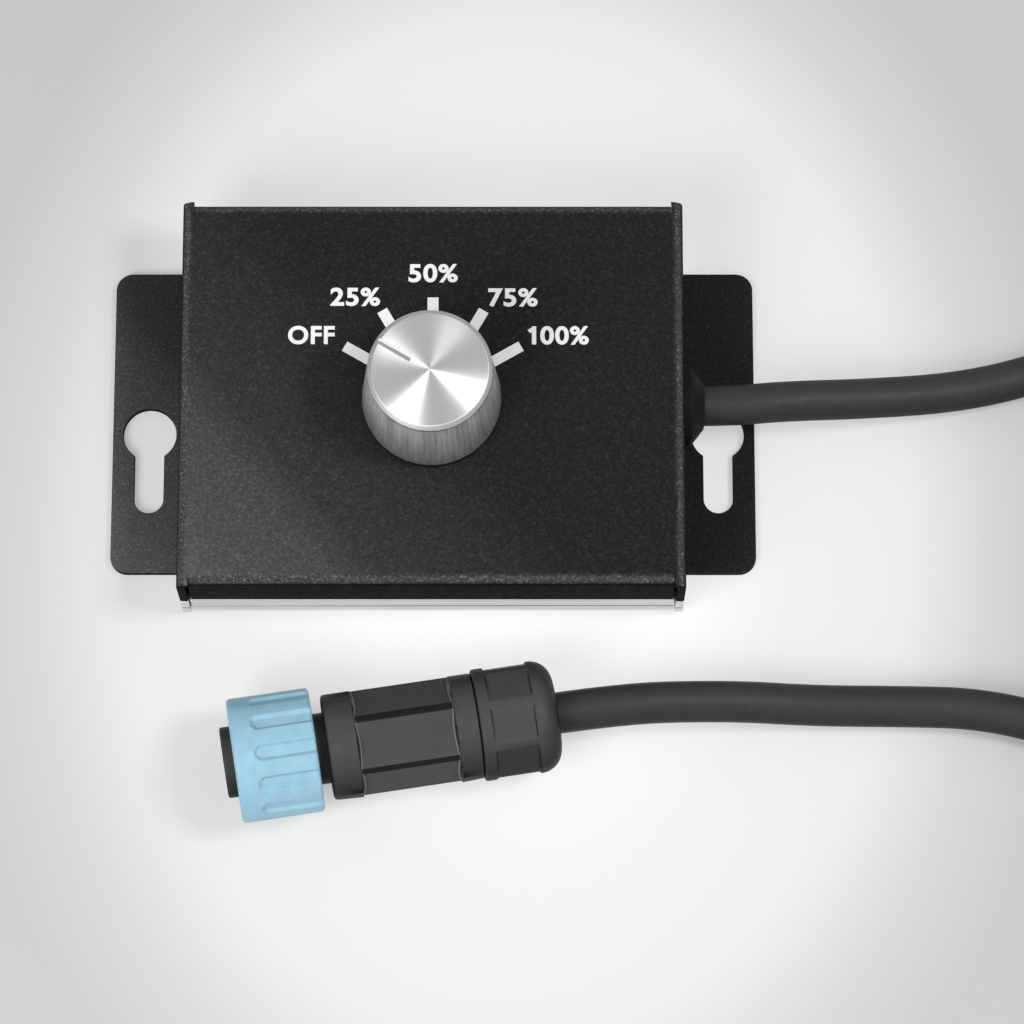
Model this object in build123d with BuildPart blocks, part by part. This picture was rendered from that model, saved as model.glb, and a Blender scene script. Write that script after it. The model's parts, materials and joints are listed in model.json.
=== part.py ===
"""Stepped dimmer control for a grow light, with its cable and screw connector.

A black folded-sheet cover with two keyhole ears closes over a bare aluminium
tray. A five-position rotary switch hangs under the panel and carries a turned
aluminium knob. A three-core cable leaves through a rubber grommet, lies in a
tied coil and ends in a round connector with a coupling nut.

Millimetres, +Z up. The origin is on the floor under the middle of the box,
+X runs to the cable side and -Y faces the reader of the dial.
"""

import os
from math import atan, cos, degrees, pi, radians, sin, tan

from build123d import *

# Enclosure sheet
box_length = 73.0
box_depth = 57.7
box_height = 17.5
sheet = 1.2
bend_inside = 0.4
flange_drop = 9.6
flange_inset = 0.3
seam = 0.2
ear_span = 94.8
ear_depth = 46.0
ear_corner = 2.5
notch_relief = 0.6
keyhole_head_d = 7.8
keyhole_slot_w = 4.3
keyhole_slot_run = 9.85
keyhole_head_y = -1.85
bead_height = 0.4
bead_depth = 0.25

# Standoffs and tray screws
post_flats = 5.0
post_inset_x = 8.0
post_inset_y = 8.5
screw_shank_d = 2.4
screw_head_d = 4.6
screw_length = 7.0
screw_clear = 0.1
screw_slot_w = 0.7
screw_slot_depth = 0.4

# Rotary switch
switch_y = -1.5
steps = 5
step_angle = 30.0
housing_d = 16.8
housing_depth = 6.5
housing_wall = 1.2
plate_size = 15.6
plate_thick = 0.8
bushing_d = 7.0
bushing_rise = 5.8
panel_clear = 0.1
tab_width = 2.4
tab_thick = 1.0
tab_radius = 6.9
shaft_d = 6.0
shaft_run = 0.05
shaft_rise = 12.8
flat_to_axis = 1.5
flat_length = 7.0
rotor_d = 12.8
rotor_thick = 2.2
inner_gap = 0.3
contact_radius = 5.2
contact_d = 1.8
pin_d = 0.9
pin_clear = 0.05
pin_tail = 1.0
wiper_thick = 0.4
wiper_tip_d = 1.2
spring_thick = 0.3
detent_radius = 5.2
detent_d = 1.2
washer_d = 12.0
washer_thick = 0.5
nut_flats = 10.0
nut_thick = 2.2
thread_clear = 0.02

# Knob
knob_base_d = 20.0
knob_top_d = 17.75
knob_height = 15.5
knob_gap = 0.8
knob_bevel = 0.55
knob_foot = 1.5
knob_wall = 1.0
knob_crown = 1.6
ring_groove = 0.25
knurl_count = 72
knurl_depth = 0.22
pointer_start = 3.1
pointer_width = 0.85
pointer_depth = 0.35
off_angle = 150.0
core_fit = 0.03

# Circuit board
board_length = 34.0
board_width = 28.0
board_thick = 1.6
board_gap = 0.6
board_corner = 1.5
chip_length = 3.2
chip_width = 1.6
chip_height = 0.6
chip_pitch = 4.5
chip_edge = 3.0

# Cable and its entry
cable_d = 6.0
cable_y = 0.3
cable_z = 8.6
grommet_flange_d = 11.3
grommet_neck_d = 9.2
grommet_out = 3.1
grommet_in = 2.0
grommet_lip = 1.4
grommet_nose_d = 7.4
grommet_round = 0.6
tie_wall = 1.2
tie_width = 2.6
tie_head = 4.4
wire_d = 1.1
wire_gap = 0.15
wire_spread = 3.0
wire_bend = 2.0
core_start = 210.0
least_bend_d = 5.0
arc_share = 0.45

# Coil of spare cable
coil_x = 136.0
coil_y = -20.0
coil_inner_r = 24.0
coil_outer_r = 44.0
coil_layers = 2
strap_width = 12.0
strap_thick = 0.8

# Connector, measured along its axis from the front face of the coupling nut
conn_x = -28.2
conn_y = -52.75
conn_turn = 8.9
nut_outer_d = 17.9
nut_length = 11.9
nut_thread_d = 15.4
nut_lip = 2.0
nut_band = 3.0
nut_grip_count = 12
nut_grip_width = 2.5
nut_grip_depth = 0.5
nut_grip_round = 0.4
nut_grip_start = 97.0
nut_round = 0.6
nut_play = 0.3
spigot_d = 10.2
spigot_out = 1.5
spigot_wall = 0.9
retainer_d = 13.6
retainer_thick = 1.4
neck_d = 10.2
neck_length = 1.5
body_d = 15.2
body_length = 21.8
body_front_collar = 4.4
body_rear_collar = 3.4
body_flats = 13.4
body_flat_start = 105.0
body_bore_d = 6.4
insert_recess = 0.8
insert_length = 6.5
insert_fit = 0.05
contact_hole_d = 1.6
contact_pitch_d = 4.8
socket_bore_d = 0.8
core_count = 3
seal_ring_d = 1.6
tail_d = 12.4
tail_length = 5.0
gland_d = 16.2
gland_length = 11.5
gland_collar = 1.8
gland_flat_count = 8
gland_flat_width = 5.1
gland_flat_length = 6.2
gland_flat_start = 105.0
gland_round = 3.2
gland_mouth_d = 6.6
gland_wall = 1.6
claw_wall = 1.0
claw_length = 4.5
claw_slits = 6
claw_slit_w = 0.6
bush_length = 4.0
straight_out = 7.3

os.makedirs("parts", exist_ok=True)


def finish(piece, name):
    """Label a finished piece and write its own STEP file."""
    piece.label = name
    export_step(piece, f"parts/{name}.step")


# Values that several pieces share
bend_outside = bend_inside + sheet
bend_middle = bend_inside + sheet / 2
half_length = box_length / 2
half_depth = box_depth / 2
wall_x = half_length - sheet / 2
panel_under = box_height - sheet
panel_middle = box_height - sheet / 2
split_z = box_height - flange_drop
flange_y = half_depth - flange_inset
fold_y = flange_y - bend_outside
keyhole_x = (half_length + ear_span / 2) / 2
post_x = half_length - post_inset_x
post_y = half_depth - post_inset_y
plate_under = panel_under - plate_thick
housing_under = plate_under - housing_depth
cavity_floor = housing_under + housing_wall
contact_top = cavity_floor + inner_gap
rotor_under = contact_top + inner_gap + 2 * wiper_thick
rotor_top = rotor_under + rotor_thick
bushing_top = box_height + bushing_rise
shaft_top = box_height + shaft_rise
board_top = housing_under - board_gap
switch_axis = Axis((0, switch_y, 0), (0, 0, 1))
switch_side = Plane(origin=(0, switch_y, 0), x_dir=(1, 0, 0), z_dir=(0, -1, 0))
cable_r = cable_d / 2
touch = 0.01

with BuildPart() as cover:
    # Ears, side walls and panel are one strip, folded four times
    with BuildSketch(Plane.XZ):
        with BuildLine():
            FilletPolyline(
                (-ear_span / 2, sheet / 2),
                (-wall_x, sheet / 2),
                (-wall_x, panel_middle),
                (wall_x, panel_middle),
                (wall_x, sheet / 2),
                (ear_span / 2, sheet / 2),
                radius=bend_middle,
            )
        trace(line_width=sheet)
    extrude(amount=half_depth, both=True)
    # The ears are shallower than the box, so the lower corners are notched
    notch = half_depth - ear_depth / 2
    with Locations([(0, side * (ear_depth + notch) / 2, split_z / 2) for side in (-1, 1)]):
        Box(ear_span, notch, split_z, mode=Mode.SUBTRACT)
    # Front and back flanges fold down between the side walls
    flange_half = half_length - bend_outside
    fold_run = half_depth - fold_y
    with Locations([(0, side * (fold_y + fold_run / 2), panel_middle) for side in (-1, 1)]):
        Box(2 * flange_half, fold_run, sheet, mode=Mode.SUBTRACT)
    with BuildSketch(Plane.YZ):
        with BuildLine():
            FilletPolyline(
                (-(flange_y - sheet / 2), split_z),
                (-(flange_y - sheet / 2), panel_middle),
                (flange_y - sheet / 2, panel_middle),
                (flange_y - sheet / 2, split_z),
                radius=bend_middle,
            )
        trace(line_width=sheet)
    extrude(amount=flange_half, both=True)
    ear_tips = edges().filter_by(Axis.Z).filter_by(lambda e: abs(e.center().X) > ear_span / 2 - seam)
    fillet(ear_tips, ear_corner)
    notch_corners = (
        edges()
        .filter_by(Axis.X)
        .filter_by(lambda e: abs(e.center().Z - split_z) < touch)
        .filter_by(lambda e: abs(abs(e.center().Y) - ear_depth / 2) < touch)
    )
    fillet(notch_corners, notch_relief)
    with BuildSketch(Plane.XY.offset(box_height)):
        with Locations((0, switch_y)):
            Circle(bushing_d / 2 + panel_clear)
        with Locations((0, switch_y + tab_radius)):
            Rectangle(tab_width + 2 * panel_clear, tab_thick + 2 * panel_clear)
    extrude(amount=-sheet, mode=Mode.SUBTRACT)
    with BuildSketch(Plane.XY.offset(sheet)):
        with Locations((-keyhole_x, keyhole_head_y), (keyhole_x, keyhole_head_y)):
            Circle(keyhole_head_d / 2)
        slot_y = keyhole_head_y - keyhole_slot_run / 2
        with Locations((-keyhole_x, slot_y), (keyhole_x, slot_y)):
            SlotCenterToCenter(keyhole_slot_run, keyhole_slot_w, rotation=90)
    extrude(amount=-sheet, mode=Mode.SUBTRACT)
    with BuildSketch(Plane.YZ.offset(half_length)):
        with Locations((cable_y, cable_z)):
            Circle(grommet_neck_d / 2 + panel_clear)
    extrude(amount=-sheet, mode=Mode.SUBTRACT)
finish(cover.part, "cover")

post_places = [(x, y) for x in (-post_x, post_x) for y in (-post_y, post_y)]
with BuildPart() as base_tray:
    rim_z = split_z - seam
    wall_half = half_length - sheet - seam
    tab_start = ear_depth / 2 + seam
    # Corner tabs close the notches beside the ears
    for side in (-1, 1):
        with BuildSketch(Plane.XZ.offset(-side * tab_start)):
            with BuildLine():
                FilletPolyline(
                    (-wall_x, rim_z),
                    (-wall_x, sheet / 2),
                    (wall_x, sheet / 2),
                    (wall_x, rim_z),
                    radius=bend_middle,
                )
            trace(line_width=sheet)
        extrude(amount=-side * (half_depth - tab_start))
    bend_zone = half_depth - fold_y
    with Locations([(0, side * (fold_y + bend_zone / 2), bend_outside / 2) for side in (-1, 1)]):
        Box(2 * (wall_half + seam), bend_zone, bend_outside, mode=Mode.SUBTRACT)
    # Bottom with the front and back walls
    with BuildSketch(Plane.YZ):
        with BuildLine():
            FilletPolyline(
                (-(flange_y - sheet / 2), rim_z),
                (-(flange_y - sheet / 2), sheet / 2),
                (flange_y - sheet / 2, sheet / 2),
                (flange_y - sheet / 2, rim_z),
                radius=bend_middle,
            )
        trace(line_width=sheet)
    extrude(amount=wall_half, both=True)
    # A pressed line half way up the front and back walls
    with Locations([(0, side * (flange_y - bead_depth / 2), split_z / 2) for side in (-1, 1)]):
        Box(2 * wall_half, bead_depth, bead_height, mode=Mode.SUBTRACT)
    with Locations([Plane(origin=(x, y, 0), z_dir=(0, 0, -1)) for x, y in post_places]):
        CounterSinkHole(
            screw_shank_d / 2 + screw_clear,
            screw_head_d / 2 + screw_clear,
            depth=sheet * 2,
            counter_sink_angle=90,
        )
finish(base_tray.part, "base_tray")

with BuildPart() as standoffs:
    with BuildSketch(Plane.XY.offset(sheet)):
        with Locations(post_places):
            RegularPolygon(post_flats / 2, 6, major_radius=False)
            Circle(screw_shank_d / 2 + thread_clear, mode=Mode.SUBTRACT)
    extrude(amount=screw_length)
    with BuildSketch(Plane.XY.offset(sheet + screw_length)):
        with Locations(post_places):
            RegularPolygon(post_flats / 2, 6, major_radius=False)
    extrude(amount=panel_under - sheet - screw_length)
finish(standoffs.part, "standoffs")

with BuildPart() as tray_screws:
    head_rise = (screw_head_d - screw_shank_d) / 2
    with Locations([(x, y, screw_clear) for x, y in post_places]):
        Cone(screw_head_d / 2, screw_shank_d / 2, head_rise, align=(Align.CENTER, Align.CENTER, Align.MIN))
        Cylinder(screw_shank_d / 2, screw_length, align=(Align.CENTER, Align.CENTER, Align.MIN))
        Box(
            screw_head_d,
            screw_slot_w,
            screw_slot_depth,
            align=(Align.CENTER, Align.CENTER, Align.MIN),
            mode=Mode.SUBTRACT,
        )
finish(tray_screws.part, "tray_screws")

with BuildPart() as switch_bushing:
    with BuildSketch(Plane.XY.offset(plate_under)):
        with Locations((0, switch_y)):
            RectangleRounded(plate_size, plate_size, housing_wall)
            Circle(shaft_d / 2 + shaft_run, mode=Mode.SUBTRACT)
            with PolarLocations(detent_radius, int(360 / step_angle), start_angle=off_angle):
                Circle(detent_d / 2, mode=Mode.SUBTRACT)
    extrude(amount=plate_thick)
    with BuildSketch(Plane.XY.offset(panel_under)):
        with Locations((0, switch_y)):
            Circle(bushing_d / 2)
            Circle(shaft_d / 2 + shaft_run, mode=Mode.SUBTRACT)
    extrude(amount=sheet + bushing_rise)
    # Turned-up tab that keeps the switch from turning in the panel
    with BuildSketch(Plane.XY.offset(panel_under)):
        with Locations((0, switch_y + tab_radius)):
            Rectangle(tab_width, tab_thick)
    extrude(amount=sheet - panel_clear)
finish(switch_bushing.part, "switch_bushing")

contact_angles = [off_angle + 180 - step_angle * i for i in range(steps)]
with BuildPart() as switch_housing:
    with BuildSketch(Plane.XY.offset(housing_under)):
        with Locations((0, switch_y)):
            Circle(housing_d / 2)
    extrude(amount=housing_depth)
    with BuildSketch(Plane.XY.offset(cavity_floor)):
        with Locations((0, switch_y)):
            Circle(housing_d / 2 - housing_wall)
    extrude(amount=housing_depth - housing_wall, mode=Mode.SUBTRACT)
    with BuildSketch(Plane.XY.offset(housing_under)):
        for angle in contact_angles:
            with Locations((0, switch_y)):
                with PolarLocations(contact_radius, 1, start_angle=angle):
                    Circle(pin_d / 2 + pin_clear)
        with Locations((0, switch_y)):
            with PolarLocations(contact_radius, 1, start_angle=off_angle - step_angle * (steps - 1) / 2):
                Circle(pin_d / 2 + pin_clear)
    extrude(amount=housing_wall, mode=Mode.SUBTRACT)
    chamfer(edges().filter_by(GeomType.CIRCLE).group_by(Axis.Z)[0].sort_by(SortBy.LENGTH)[-1], inner_gap * 2)
finish(switch_housing.part, "switch_housing")

pin_angles = contact_angles + [off_angle - step_angle * (steps - 1) / 2]
with BuildPart() as switch_contacts:
    pin_under = board_top - board_thick - pin_tail
    for angle in pin_angles:
        with BuildSketch(Plane.XY.offset(pin_under)):
            with Locations((0, switch_y)):
                with PolarLocations(contact_radius, 1, start_angle=angle):
                    Circle(pin_d / 2)
        extrude(amount=cavity_floor - pin_under)
        with BuildSketch(Plane.XY.offset(cavity_floor)):
            with Locations((0, switch_y)):
                with PolarLocations(contact_radius, 1, start_angle=angle):
                    Circle(contact_d / 2)
        extrude(amount=inner_gap)
finish(switch_contacts.part, "switch_contacts")

with BuildPart() as switch_shaft:
    with BuildSketch(Plane.XY.offset(rotor_under)):
        with Locations((0, switch_y)):
            Circle(shaft_d / 2)
    extrude(amount=shaft_top - rotor_under)
    # Flat for the knob
    with Locations((0, switch_y + flat_to_axis, shaft_top)):
        Box(
            shaft_d,
            shaft_d,
            flat_length,
            align=(Align.CENTER, Align.MIN, Align.MAX),
            mode=Mode.SUBTRACT,
        )
    chamfer(edges().group_by(Axis.Z)[-1], inner_gap)
finish(switch_shaft.part, "switch_shaft")

with BuildPart() as switch_rotor:
    with BuildSketch(Plane.XY.offset(rotor_under)):
        with Locations((0, switch_y)):
            Circle(rotor_d / 2)
            Circle(shaft_d / 2, mode=Mode.SUBTRACT)
    extrude(amount=rotor_thick)
finish(switch_rotor.part, "switch_rotor")

with BuildPart() as rotor_contact:
    # A spring ring under the rotor with one finger on the selected contact
    with BuildSketch(Plane.XY.offset(rotor_under - wiper_thick)):
        with Locations((0, switch_y)):
            Circle(shaft_d / 2 + contact_d / 2)
            with PolarLocations(contact_radius / 2, 2, start_angle=off_angle):
                SlotOverall(contact_radius + contact_d, contact_d)
            Circle(shaft_d / 2, mode=Mode.SUBTRACT)
    extrude(amount=wiper_thick)
    with BuildSketch(Plane.XY.offset(rotor_under - 2 * wiper_thick)):
        with Locations((0, switch_y)):
            with PolarLocations(contact_radius, 2, start_angle=off_angle):
                Circle(wiper_tip_d / 2)
    extrude(amount=wiper_thick)
finish(rotor_contact.part, "rotor_contact")

with BuildPart() as detent_spring:
    # Two pips run under the ring of holes in the mounting plate
    with BuildSketch(Plane.XY.offset(rotor_top)):
        with Locations((0, switch_y)):
            Circle(rotor_d / 2 - inner_gap)
            Circle(shaft_d / 2 + inner_gap, mode=Mode.SUBTRACT)
    extrude(amount=spring_thick)
    pip_rise = plate_under - rotor_top - spring_thick - inner_gap
    with BuildSketch(Plane.XY.offset(rotor_top + spring_thick)):
        with Locations((0, switch_y)):
            with PolarLocations(detent_radius, 2, start_angle=off_angle):
                Circle(detent_d / 2)
    extrude(amount=pip_rise)
    pip_tops = edges().filter_by(GeomType.CIRCLE).group_by(Axis.Z)[-1]
    fillet(pip_tops, min(pip_rise, detent_d / 2) / 2)
finish(detent_spring.part, "detent_spring")

with BuildPart() as panel_washer:
    with BuildSketch(Plane.XY.offset(box_height)):
        with Locations((0, switch_y)):
            Circle(washer_d / 2)
            Circle(bushing_d / 2 + panel_clear, mode=Mode.SUBTRACT)
    extrude(amount=washer_thick)
finish(panel_washer.part, "panel_washer")

with BuildPart() as panel_nut:
    with BuildSketch(Plane.XY.offset(box_height + washer_thick)):
        with Locations((0, switch_y)):
            RegularPolygon(nut_flats / 2, 6, major_radius=False)
            Circle(bushing_d / 2 + thread_clear, mode=Mode.SUBTRACT)
    extrude(amount=nut_thick)
finish(panel_nut.part, "panel_nut")

knob_under = box_height + knob_gap
knob_top = knob_under + knob_height
cap_bore_r = knob_top_d / 2 - knob_wall
bevel_r = knob_top_d / 2 - knob_bevel
knurl_low = knob_under + knob_foot
knurl_high = knob_top - 2 * knob_bevel
taper = (knob_base_d - knob_top_d) / 2 / (knob_top - knob_bevel - knurl_low)
# Cutter for one groove of the knurl, shallower in radius as the side tapers
with BuildPart() as knurl_cutter:
    for z in (knurl_low, knurl_high):
        side_r = knob_base_d / 2 - taper * (z - knurl_low)
        with BuildSketch(Plane.XY.offset(z)):
            with Locations((side_r + knurl_depth, 0)):
                RegularPolygon(2 * knurl_depth, 3, rotation=180)
    loft()

with BuildPart() as knob_cap:
    with BuildSketch(switch_side):
        with BuildLine():
            Polyline(
                (cap_bore_r, knob_under),
                (knob_base_d / 2, knob_under),
                (knob_base_d / 2, knurl_low),
                (knob_top_d / 2, knob_top - knob_bevel),
                (bevel_r, knob_top),
                (0, knob_top),
                (0, knob_top - knob_crown),
                (cap_bore_r, knob_top - knob_crown),
                close=True,
            )
        make_face()
    revolve(axis=switch_axis)
    # Fine straight knurl down the tapered side
    with Locations((0, switch_y, 0)):
        with PolarLocations(0, knurl_count):
            add(knurl_cutter.part, mode=Mode.SUBTRACT)
    # Turned line under the bevel
    with BuildSketch(switch_side):
        with Locations((knob_top_d / 2, knurl_high + ring_groove)):
            Rectangle(2 * ring_groove, ring_groove)
    revolve(axis=switch_axis, mode=Mode.SUBTRACT)
    # Pointer line, cut to the edge of the crown and aimed at OFF
    pointer_run = bevel_r - pointer_start
    with BuildSketch(Plane.XY.offset(knob_top)):
        with Locations((0, switch_y)):
            with PolarLocations(pointer_start + pointer_run / 2, 1, start_angle=off_angle):
                Rectangle(pointer_run, pointer_width)
    extrude(amount=-pointer_depth, mode=Mode.SUBTRACT)
finish(knob_cap.part, "knob_cap")

with BuildPart() as knob_core:
    core_under = knob_under + core_fit
    core_top = knob_top - knob_crown
    well_top = bushing_top + inner_gap
    with BuildSketch(Plane.XY.offset(core_under)):
        with Locations((0, switch_y)):
            Circle(cap_bore_r - core_fit)
    extrude(amount=core_top - core_under)
    # Well that clears the washer, the nut and the bushing
    with BuildSketch(Plane.XY.offset(core_under)):
        with Locations((0, switch_y)):
            Circle(washer_d / 2 + 2 * inner_gap)
    extrude(amount=well_top - core_under, mode=Mode.SUBTRACT)
    with BuildSketch(Plane.XY.offset(well_top)):
        with Locations((0, switch_y)):
            Circle(shaft_d / 2 + core_fit)
        with Locations((0, switch_y + flat_to_axis + core_fit)):
            Rectangle(shaft_d, shaft_d, align=(Align.CENTER, Align.MIN), mode=Mode.SUBTRACT)
    extrude(amount=shaft_top + core_fit - well_top, mode=Mode.SUBTRACT)
    # Round lead-in below the flat of the shaft
    with BuildSketch(Plane.XY.offset(well_top)):
        with Locations((0, switch_y)):
            Circle(shaft_d / 2 + core_fit)
    extrude(amount=shaft_top - flat_length - well_top, mode=Mode.SUBTRACT)
finish(knob_core.part, "knob_core")

with BuildPart() as circuit_board:
    with BuildSketch(Plane.XY.offset(board_top - board_thick)):
        with Locations((0, switch_y)):
            RectangleRounded(board_length, board_width, board_corner)
        for angle in pin_angles:
            with Locations((0, switch_y)):
                with PolarLocations(contact_radius, 1, start_angle=angle):
                    Circle(pin_d / 2 + pin_clear, mode=Mode.SUBTRACT)
    extrude(amount=board_thick)
finish(circuit_board.part, "circuit_board")

with BuildPart() as step_resistors:
    chip_x = -board_length / 2 + chip_edge
    with BuildSketch(Plane.XY.offset(board_top)):
        with Locations((chip_x, switch_y)):
            with GridLocations(chip_pitch, chip_pitch, 1, steps - 1):
                Rectangle(chip_length, chip_width)
    extrude(amount=chip_height)
finish(step_resistors.part, "step_resistors")

cable_axis = Axis((0, cable_y, cable_z), (1, 0, 0))
cable_side = Plane(origin=(0, cable_y, cable_z), x_dir=(1, 0, 0), z_dir=(0, -1, 0))
with BuildPart() as cable_grommet:
    with BuildSketch(cable_side):
        with BuildLine():
            Polyline(
                (half_length - sheet - grommet_in, cable_r),
                (half_length + grommet_out, cable_r),
                (half_length + grommet_out, grommet_nose_d / 2),
                (half_length + grommet_lip, grommet_flange_d / 2),
                (half_length, grommet_flange_d / 2),
                (half_length, grommet_neck_d / 2),
                (half_length - sheet, grommet_neck_d / 2),
                (half_length - sheet, grommet_flange_d / 2),
                (half_length - sheet - grommet_in, grommet_flange_d / 2),
                close=True,
            )
        make_face()
        outer_corners = [vertices().group_by(Axis.X)[i].sort_by(Axis.Y)[-1] for i in (-1, -2)]
        fillet(outer_corners, grommet_round)
    revolve(axis=cable_axis)
finish(cable_grommet.part, "cable_grommet")

tie_x = half_length - sheet - grommet_in - seam - tie_width / 2
with BuildPart() as inner_tie:
    with BuildSketch(Plane.YZ.offset(tie_x - tie_width / 2)):
        with Locations((cable_y, cable_z)):
            Circle(cable_r + tie_wall)
            Rectangle(tie_head, cable_r + tie_wall * 2, align=(Align.CENTER, Align.MIN))
            Circle(cable_r, mode=Mode.SUBTRACT)
    extrude(amount=tie_width)
finish(inner_tie.part, "inner_tie")


def corner_radii(points, least):
    """Largest arc radius for each inner point of a route, with a check print."""
    radii = []
    for before, here, after in zip(points, points[1:], points[2:]):
        arrive = Vector(*here) - Vector(*before)
        leave = Vector(*after) - Vector(*here)
        turn = arrive.get_angle(leave)
        shorter = min(arrive.length, leave.length)
        radii.append(arc_share * shorter / tan(radians(turn) / 2))
    print("arc radii", [round(r, 1) for r in radii], "least wanted", least)
    return radii


cable_end_x = tie_x - tie_width / 2 - seam
lead_route = [
    (cable_end_x, cable_y, cable_z),
    (43.3, cable_y, cable_z),
    (51.0, 1.15, 8.4),
    (63.5, 2.35, 5.5),
    (77.0, 4.0, 3.1),
    (88.0, 6.5, 3.0),
    (97.8, 10.3, 3.0),
    (106.2, 14.5, 3.0),
    (114.0, 18.9, 3.05),
]
with BuildPart() as cable_lead:
    with BuildLine() as lead_line:
        FilletPolyline(*lead_route, radius=corner_radii(lead_route, least_bend_d * cable_d))
    with BuildSketch(Plane(lead_line.wire() @ 0, z_dir=lead_line.wire() % 0)):
        Circle(cable_r)
    sweep()
finish(cable_lead.part, "cable_lead")
lead_section = pi * cable_r**2 * lead_line.wire().length
print("cable_lead volume", round(cable_lead.part.volume, 1), "section x length", round(lead_section, 1))

with BuildPart() as core_wires:
    wire_start_r = (wire_d + wire_gap) / sin(pi / core_count) / 2
    for i in range(core_count):
        spread = i - (core_count - 1) / 2
        around = radians(core_start - 360 * i / core_count)
        wire_y = cable_y + wire_start_r * cos(around)
        wire_z = cable_z + wire_start_r * sin(around)
        pad_y = switch_y + spread * wire_spread
        with BuildLine() as wire_line:
            FilletPolyline(
                (cable_end_x, wire_y, wire_z),
                (cable_end_x - 2 * wire_bend, wire_y, wire_z),
                (board_length / 2 + wire_bend, pad_y, board_top + wire_d),
                (board_length / 2 - wire_bend, pad_y, board_top + wire_d / 2),
                radius=wire_bend,
            )
        with BuildSketch(Plane(wire_line.wire() @ 0, z_dir=wire_line.wire() % 0)):
            Circle(wire_d / 2)
        sweep()
finish(core_wires.part, "core_wires")

with BuildPart() as coil_tie:
    coil_height = coil_layers * cable_d + strap_thick
    ring_width = coil_outer_r - coil_inner_r + cable_d
    ring_middle = (coil_outer_r + coil_inner_r) / 2
    strap_round = coil_height / 3
    with BuildSketch(Plane.XZ.offset(-coil_y - strap_width / 2)):
        with Locations((coil_x + ring_middle, coil_height / 2 + strap_thick / 2)):
            RectangleRounded(
                ring_width + 2 * strap_thick, coil_height + strap_thick, strap_round
            )
            RectangleRounded(
                ring_width, coil_height - strap_thick, strap_round - strap_thick, mode=Mode.SUBTRACT
            )
    extrude(amount=strap_width)
finish(coil_tie.part, "coil_tie")

with BuildPart() as cable_coil:
    with BuildSketch(Plane.XY):
        with Locations((coil_x, coil_y)):
            Circle(coil_outer_r + cable_r)
            Circle(coil_inner_r - cable_r, mode=Mode.SUBTRACT)
    extrude(amount=coil_height)
    # The strap lies in a shallow waist round the turns
    with Locations((coil_x + ring_middle, coil_y, 0)):
        Box(
            ring_width + 4 * strap_thick,
            strap_width + 2 * seam,
            coil_height + 2 * strap_thick,
            align=(Align.CENTER, Align.CENTER, Align.MIN),
            mode=Mode.SUBTRACT,
        )
    with BuildSketch(Plane.XZ.offset(-coil_y - strap_width / 2 - seam)):
        with Locations((coil_x + ring_middle, coil_height / 2 + strap_thick / 2)):
            RectangleRounded(
                ring_width - seam, coil_height - strap_thick - seam, strap_round - strap_thick
            )
    extrude(amount=strap_width + 2 * seam)
finish(cable_coil.part, "cable_coil")

# Connector frame: the nut and the gland both touch the floor
nut_r = nut_outer_d / 2
gland_r = gland_d / 2
body_start = nut_length + neck_length
body_end = body_start + body_length
gland_end = body_end + gland_length
gland_rest = gland_end - gland_round
tilt = atan((nut_r - gland_r) / (gland_rest - nut_length))
conn_dir = Vector(
    cos(tilt) * cos(radians(conn_turn)),
    cos(tilt) * sin(radians(conn_turn)),
    -sin(tilt),
)
conn_origin = Vector(conn_x, conn_y, nut_r * cos(tilt) + nut_length * sin(tilt))
conn_across = Vector(-sin(radians(conn_turn)), cos(radians(conn_turn)), 0)
conn_axis = Axis(conn_origin, conn_dir)
conn_side = Plane(origin=conn_origin, x_dir=conn_across, z_dir=conn_across.cross(conn_dir))


def conn_section(distance):
    """Plane square to the connector axis, so far behind the nut's front face."""
    return Plane(origin=conn_origin + conn_dir * distance, x_dir=conn_across, z_dir=conn_dir)


def conn_point(distance):
    """Point on the connector axis, so far behind the nut's front face."""
    return tuple(conn_origin + conn_dir * distance)


neck_r = neck_d / 2
retainer_back = nut_length - nut_lip - nut_play
with BuildPart() as coupling_nut:
    with BuildSketch(conn_side):
        with BuildLine():
            Polyline(
                (nut_thread_d / 2, 0),
                (nut_r, 0),
                (nut_r, nut_length),
                (neck_r + nut_play, nut_length),
                (neck_r + nut_play, nut_length - nut_lip),
                (nut_thread_d / 2, nut_length - nut_lip),
                close=True,
            )
        make_face()
        fillet(vertices().group_by(Axis.X)[-1], nut_round)
    revolve(axis=conn_axis)
    # Wide grip flutes behind a plain front band
    with BuildSketch(conn_section(nut_band)):
        with PolarLocations(nut_r, nut_grip_count, start_angle=nut_grip_start):
            RectangleRounded(2 * nut_grip_depth, nut_grip_width, min(nut_grip_round, 0.9 * nut_grip_depth))
    extrude(amount=nut_length - nut_band, mode=Mode.SUBTRACT)
finish(coupling_nut.part, "coupling_nut")

flat_start = body_start + body_front_collar
flat_end = body_end - body_rear_collar
shoulder = (body_d - body_flats) / 2
# Cutter for six wrench flats that slope up into the round collars
with BuildPart() as wrench_cutter:
    with BuildSketch(conn_section(flat_start - shoulder)):
        Circle(body_d)
        RegularPolygon(
            body_flats / 2, 6, major_radius=False, rotation=body_flat_start - 90, mode=Mode.SUBTRACT
        )
    extrude(amount=flat_end - flat_start + 2 * shoulder)
    with BuildSketch(conn_side):
        with BuildLine():
            Polyline(
                (body_flats / 2, flat_start + shoulder),
                (body_d / 2 + shoulder, flat_start - shoulder),
                (body_d / 2 + shoulder, flat_end + shoulder),
                (body_flats / 2, flat_end - shoulder),
                close=True,
            )
        make_face()
    revolve(axis=conn_axis, mode=Mode.INTERSECT)

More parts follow.
